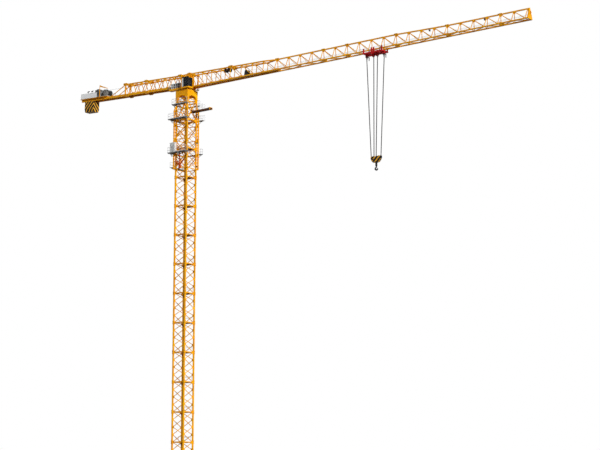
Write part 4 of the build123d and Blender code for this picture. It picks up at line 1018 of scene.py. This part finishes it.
def trolley_winch_details():
    """Flanges, windings and end cap of the trolley winch."""
    drum = Piece()
    low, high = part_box("trolley_winch")
    x = (low.x + high.x) / 2
    z = high.z - 0.028
    for y in (-0.036, 0.032):
        drum.axle(x, z, y, y + 0.004, 0.034, 24)
    for k in range(9):
        y = -0.028 + 0.007 * k
        drum.axle(x, z, y - 0.002, y + 0.002, 0.0295, 24)
    drum.axle(x, z, 0.045, 0.0515, 0.018, 16)
    drum.done("trolley_winch_windings", UPPER, "winch_dark")


# Turntable, cab and service deck; the cab's pieces are built from the low corner of its shell

in_cab, CAB = corner_frame("cab_shell")
pane_low, pane_high = (corner - in_cab.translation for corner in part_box("cab_glass"))


def turntable_details():
    """Bearing bolts and the two slewing motors."""
    low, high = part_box("turntable")
    bolts = Piece()
    ring = high.x - 0.009
    ring_top = low.z + 0.006
    for x, y in circle(ring, 36):
        bolts.post(x, y, ring_top, ring_top + 0.005, 0.0042, 6)
    bolts.done("bearing_bolts", UPPER, "winch_dark")
    motors = Piece()
    base = ring_top + 0.002
    foot_z = base + 0.008
    foot_reach = 0.6
    for x, y in ((-0.1, 0.1), (0.155, 0.135)):
        motors.post(x, y, base, base + 0.03, 0.021, 16)
        motors.post(x, y, base + 0.03, base + 0.064, 0.017, 16)
        for k in range(5):
            z = base + 0.034 + 0.006 * k
            motors.post(x, y, z, z + 0.002, 0.0185, 16)
        motors.bar((x, y, foot_z), (x * foot_reach, y * foot_reach, foot_z), 0.03, 0.01)
    motors.done("slewing_motors", UPPER, "cabinet_grey")


def cab_trim():
    """Roof edge, sills, corner post, and a pale panel on the near side window that is a painted reflection
    of the sky.
    """
    trim = Piece()
    lip = 0.0025
    inner = 0.002
    sill_low = -0.007
    sill_high = 0.017
    trim.box((-0.004, -0.004, CAB.z), (CAB.x + 0.012, CAB.y, CAB.z + 0.006))
    trim.box((0.0, -lip, sill_low), (CAB.x, inner, sill_high))
    trim.box((CAB.x - inner, -lip, sill_low), (CAB.x + lip, CAB.y, sill_high))
    trim.box((0.0, -lip, sill_high), (0.013, inner, CAB.z))
    trim.done("cab_trim", UPPER, "cab_yellow", 0.0008, in_cab)
    # Painted reflection: a pale panel on the near side window stands in for the sky reflected in its glass
    panel = Piece()
    panel.box((0.018, pane_low.y - 0.002, 0.022), (0.048, pane_low.y + 0.001, CAB.z - 0.016))
    panel.done("cab_window_sky_reflection", UPPER, "cabinet_grey", 0.0006, in_cab)


def cab_bars():
    """Window bars, wiper, and dark sheets on floor, rear and far wall that are painted shade inside the cab.
    """
    bars = Piece()
    proud = 0.001
    bars.box((0.05, pane_low.y - 0.002, pane_low.z), (0.056, pane_low.y + proud, pane_high.z))
    bars.box((CAB.x - 0.009, -proud, 0.017), (CAB.x + proud, 0.009, CAB.z))
    bars.box((0.013, -proud, CAB.z - 0.013), (CAB.x + proud, 0.002, CAB.z))
    rail = 0.07
    bars.box((pane_high.x - proud, pane_low.y, rail), (pane_high.x + 0.002, pane_high.y, rail + 0.005))
    pivot = Vector((pane_high.x + 0.003, 0.06, CAB.z - 0.014))
    pivot_half = Vector((0.002, 0, 0))
    bars.bar(pivot, pivot + Vector((0, 0.03, -0.085)), 0.002, 0.003)
    bars.tube(pivot - pivot_half, pivot + pivot_half, 0.004, 8)
    # Painted shade: dark sheets on the floor, rear and far wall make the inside of the cab read as shaded
    # through the glass
    wall = 0.006
    shade_sheet = 0.002
    start = Vector((wall, wall, wall))
    end = CAB - start
    bars.box(start, (end.x, end.y, wall + 0.003))
    bars.box(start, (wall + shade_sheet, end.y, end.z))
    bars.box((wall, end.y - shade_sheet, wall), end)
    bars.done("cab_bars_and_shade_sheets", UPPER, "winch_dark", 0.0, in_cab)


def cab_seat():
    """Seat with its foot, head rest, side consoles and levers, and the hand grip outside."""
    seat = Piece()
    middle = CAB.y / 2
    arm_gap = 0.034
    seat.block((0.075, middle, 0.045), (0.045, 0.044, 0.014))
    seat.block((0.056, middle, 0.085), (0.012, 0.044, 0.075))
    seat.block((0.057, middle, 0.132), (0.01, 0.026, 0.018))
    seat.post(0.075, middle, 0.009, 0.04, 0.01)
    for y in (middle - arm_gap, middle + arm_gap):
        seat.block((0.09, y, 0.05), (0.06, 0.016, 0.012))
        seat.tube((0.11, y, 0.055), (0.112, y, 0.078), 0.003, 6)
    seat.done("cab_seat", UPPER, "winch_grey", 0.002, in_cab)
    grip = Piece()
    x = 0.008
    out = -0.007
    low = 0.05
    high = 0.13
    grip.run([(x, 0.0, low), (x, out, low), (x, out, high), (x, 0.0, high)], 0.0016)
    grip.done("cab_hand_grip", UPPER, "rail_grey", 0.0, in_cab)


def cabinet_details():
    """Doors with handles and louvres over a dark face, lid."""
    place, size = corner_frame("switch_cabinet")
    doors = Piece()
    gaps = Piece()
    count = 4
    blind = 0.032
    gap = 0.019
    width = (size.x - blind) / count
    proud = 0.004
    for i in range(count):
        left = width * i + gap / 2
        right = left + width - gap
        doors.box((left, -proud, 0.008), (right, 0.0, size.z - 0.008))
        gaps.box((left + 0.004, -0.0065, 0.045), (left + 0.007, -proud, 0.06))
        for k in range(4):
            z = size.z - 0.03 + 0.004 * k
            gaps.box((left + 0.01, -0.0048, z), (right - 0.008, -proud, z + 0.0016))
    gaps.box((0.0, -0.0012, 0.003), (size.x, 0.0, size.z - 0.003))
    doors.box((-0.004, -0.006, size.z - 0.002), (size.x + 0.004, size.y, size.z + 0.004))
    doors.done("switch_cabinet_doors", UPPER, "cabinet_grey", 0.0008, place)
    gaps.done("switch_cabinet_gaps", UPPER, "winch_dark", 0.0, place)


def deck_kick():
    """Kick plates along the near and the rear edge of the service deck."""
    low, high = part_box("service_deck")
    kick = Piece()
    thick = 0.002
    top = high.z + 0.012
    kick.box((low.x, low.y, high.z), (high.x, low.y + thick, top))
    kick.box((low.x, low.y, high.z), (low.x + thick, high.y, top))
    kick.done("service_deck_kick", UPPER, "crane_yellow")


# Counter-jib, built in its own tilted frame: x is 0 at its root and negative beyond

TILT = math.radians(2.4)
COUNTER_DEPTH = 0.232
COUNTER_TOP = COUNTER_DEPTH - JIB_CHORD / 2
COUNTER_LENGTH = 2.49
COUNTER_BAYS = 10
TRUSS = 1.39
GIRDER = 0.04
DECK_TOP = 0.046
counter_origin = Vector((head_low.x, 0, head_high.z - COUNTER_DEPTH))
counter_frame = Matrix.Translation(counter_origin) @ Matrix.Rotation(TILT, 4, "Y")


def counter_joints():
    """Fork lugs and node plates of the trusses, brackets under the deck's edge."""
    plates = Piece()
    pins = Piece()
    bay = TRUSS / COUNTER_BAYS
    for y in (-jib_half, jib_half):
        for x in (-0.035, -0.86, 0.012 - TRUSS):
            lug(plates, pins, (x, y, COUNTER_TOP + 0.003), 0.1, 0.046)
        for x in (-0.05, -0.84, -1.33):
            lug(plates, pins, (x, y, GIRDER / 2 - 0.008), 0.1, GIRDER + 0.012)
        for i in range(1, COUNTER_BAYS):
            x = -bay * i
            plates.block((x, y, COUNTER_TOP - 0.014), NODE_PLATE)
            plates.block((x + bay / 2, y, GIRDER + 0.006), (0.044, 0.012, 0.014))
    bracket = [(0.072, 0.004), (0.072, GIRDER), (0.114, GIRDER)]
    for side in (-1, 1):
        for x in (-1.9, -2.1, -2.3, -2.46):
            plates.plate([(x, side * y, z) for y, z in bracket], 0.006)
    plates.done("counter_jib_lugs", UPPER, "crane_yellow", 0.0015, counter_frame)
    pins.done("counter_jib_pins", UPPER, "winch_dark", 0.0, counter_frame)


DRUM_X = -1.886
DRUM_Z = 0.126
DRUM_RADIUS = 0.056


def winch_drum(metal, dark):
    """Drum flanges and windings, bearing cap, gearbox."""
    for y in (-0.062, 0.056):
        metal.axle(DRUM_X, DRUM_Z, y, y + 0.006, DRUM_RADIUS + 0.009, 28)
    for k in range(17):
        y = -0.05 + 0.0064 * k
        dark.axle(DRUM_X, DRUM_Z, y - 0.0024, y + 0.0024, DRUM_RADIUS + 0.0022, 28)
    metal.axle(DRUM_X, DRUM_Z, -0.072, -0.066, 0.03, 20)
    metal.block((DRUM_X, 0.073, DRUM_Z - 0.008), (0.075, 0.014, 0.1))


def winch_motor(metal, dark):
    """Motor housing slots and lid, coupling with its brake disc, boxes."""
    start = -2.16
    end = -2.02
    top = 0.198
    for k in range(7):
        left = start + 0.008 + 0.019 * k
        dark.box((left, -0.067, 0.09), (left + 0.009, -0.065, top - 0.02))
    metal.box((start - 0.003, -0.068, top), (end + 0.003, 0.068, top + 0.005))
    x = (end + DRUM_X) / 2
    y = -0.04
    z = 0.12
    metal.tube((x - 0.03, y, z), (x + 0.02, y, z), 0.022, 16)
    dark.tube((x - 0.006, y, z), (x, y, z), 0.034, 24)
    metal.block((x, 0.035, 0.1), (0.05, 0.05, 0.06))
    dark.block((x - 0.01, 0.0, 0.19), (0.03, 0.05, 0.026))
    dark.block((start + 0.05, -0.02, top + 0.014), (0.06, 0.05, 0.02))


def deck_lamps(dark):
    """Two floodlights on posts behind the side board."""
    y0, y1 = -0.1, -0.08
    for x in (-2.21, -2.31):
        dark.post(x, -0.09, DECK_TOP, 0.175, 0.003, 6)
        dark.plate([(x - 0.02, y0, 0.172), (x + 0.016, y0, 0.178),
                    (x + 0.02, y1, 0.196), (x - 0.016, y1, 0.19)], 0.014)


def winch_details():
    """Hoist winch, lamps, and the hoist rope to the head."""
    metal = Piece()
    dark = Piece()
    winch_drum(metal, dark)
    winch_motor(metal, dark)
    deck_lamps(dark)
    metal.done("hoist_winch_fittings", UPPER, "winch_grey", 0.001, counter_frame)
    dark.done("hoist_winch_dark", UPPER, "winch_dark", 0.0, counter_frame)
    rope = Piece()
    rope_y = -0.01
    rope.tube((DRUM_X, rope_y, DRUM_Z + DRUM_RADIUS), (0.03, rope_y, COUNTER_TOP - 0.03), 0.0016)
    rope.done("hoist_rope_run", UPPER, "rope_steel", 0.0, counter_frame)


def board_details():
    """Rim of the blank side board and the struts behind it."""
    rim = Piece()
    left = 0.02 - COUNTER_LENGTH
    right = 0.435 - COUNTER_LENGTH
    low = DECK_TOP
    high = DECK_TOP + 0.099
    face = -0.1212
    depth = 0.006
    strip = 0.004
    rim.box((left, face, low), (right, face + 0.002, low + strip))
    rim.box((left, face, high - strip), (right, face + depth, high))
    for x in (left, right - strip):
        rim.box((x, face, low), (x + strip, face + depth, high))
    struts = 4
    margin = 0.02
    for i in range(struts):
        x = left + margin + (right - left - 2 * margin) * i / (struts - 1)
        rim.box((x - 0.003, -0.1158, low), (x + 0.003, -0.11, high))
        rim.bar((x, -0.112, high - 0.02), (x, -0.075, low), 0.005, 0.005)
    rim.done("side_board_rim", UPPER, "winch_grey", 0.0, counter_frame)


def davit_chain():
    """Chain, hoist and small hook under the davit's arm."""
    chain = Piece()
    low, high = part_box("davit")
    x = high.x - 0.008
    y = (low.y + high.y) / 2
    top = low.z + 0.145
    radius = 0.0018
    chain.post(x, y, top, top - 0.035, radius, 6)
    chain.block((x, y, top - 0.045), (0.016, 0.012, 0.022))
    hook = [(0.0, 0.056), (0.0, 0.066), (0.006, 0.072), (0.008, 0.064)]
    chain.run([(x + out, y, top - drop) for out, drop in hook], radius)
    chain.done("davit_chain", UPPER, "winch_dark")


# Trolley, hook block, hook

def trolley_details():
    """Wheel axle ends, plates hung at both ends, sheave axles and rope guards."""
    wheels_low, wheels_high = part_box("trolley_wheels")
    dark = Piece()
    red = Piece()
    wheel_z = (wheels_low.z + wheels_high.z) / 2
    wheel_inset = 0.011
    for x in (wheels_low.x + wheel_inset, wheels_high.x - wheel_inset):
        for side in (-1, 1):
            dark.axle(x, wheel_z, side * 0.08, side * 0.096, 0.006, 10)
    outline = [(-0.008, 0.01), (0.008, 0.01), (0.005, -0.055), (-0.005, -0.055)]
    for x in (trolley_low.x + 0.048, trolley_high.x - 0.008):
        for y in (-0.03, 0.03):
            dark.plate([(x + u, y, trolley_low.z + w) for u, w in outline], 0.006)
    sheaves_low, sheaves_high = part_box("trolley_sheaves")
    sheave_z = (sheaves_low.z + sheaves_high.z) / 2
    guard_z = sheave_z - 0.028
    for top in FALL_TOPS:
        x = trolley_x + top
        dark.axle(x, sheave_z, -0.026, 0.026, 0.007, 10)
        red.bar((x, -0.021, guard_z), (x, 0.021, guard_z), 0.008, 0.003)
    dark.done("trolley_axles", "trolley", "winch_dark")
    red.done("trolley_rope_guards", "trolley", "trolley_red")


def block_details():
    """Covers over the sheaves, axle caps and nuts."""
    low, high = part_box("block_frame")
    sheaves_low, sheaves_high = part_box("block_sheaves")
    lobes = Piece()
    caps = Piece()
    radius = (sheaves_high.z - sheaves_low.z) / 2
    axle_z = sheaves_high.z - radius
    rim = radius + 0.012
    inset = 0.0022
    turns = [math.radians(20 + 10 * k) for k in range(15)]
    for x in (sheaves_low.x + radius, sheaves_high.x - radius):
        outline = [(x + rim * math.cos(t), axle_z + rim * math.sin(t)) for t in turns]
        for y in (low.y + inset, high.y - inset):
            lobes.plate([(u, y, w) for u, w in outline], 0.004)
        caps.axle(x, axle_z, low.y - 0.004, high.y + 0.004, 0.012, 16)
        caps.axle(x, axle_z, low.y - 0.007, high.y + 0.007, 0.006, 6)
    caps.axle((low.x + high.x) / 2, low.z + 0.012, low.y - 0.005, high.y + 0.005, 0.008, 12)
    lobes.done("block_rope_covers", "hook_block", "block_striped")
    caps.done("block_axle_caps", "hook_block", "winch_dark")


def hook_details():
    """Collar on the hook's shank and the latch across its throat."""
    low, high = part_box("hook")
    block_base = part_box("block_frame")[0].z
    x = (low.x + high.x) / 2
    collar = Piece()
    # Distance below the block and radius
    levels = ((0.0006, 0.015), (0.006, 0.018), (0.05, 0.018), (0.064, 0.013))
    collar.hull([[(x + u, v, block_base - down) for u, v in circle(radius, 16)] for down, radius in levels])
    collar.done("hook_collar", "hook", "hook_black")
    latch = Piece()
    neck = Vector((x + 0.008, 0, block_base - 0.07))
    tip = Vector((high.x - 0.006, 0, low.z + 0.045))
    latch.bar(neck, tip, 0.006, 0.003)
    latch.axle(neck.x, neck.z, -0.008, 0.008, 0.003, 8)
    latch.done("hook_latch", "hook", "winch_grey")


jib_joints()
jib_node_plates()
jib_walkway()
rope_gear()
trolley_winch_details()
turntable_details()
cab_trim()
cab_bars()
cab_seat()
cabinet_details()
deck_kick()
counter_joints()
winch_details()
board_details()
davit_chain()
trolley_details()
block_details()
hook_details()
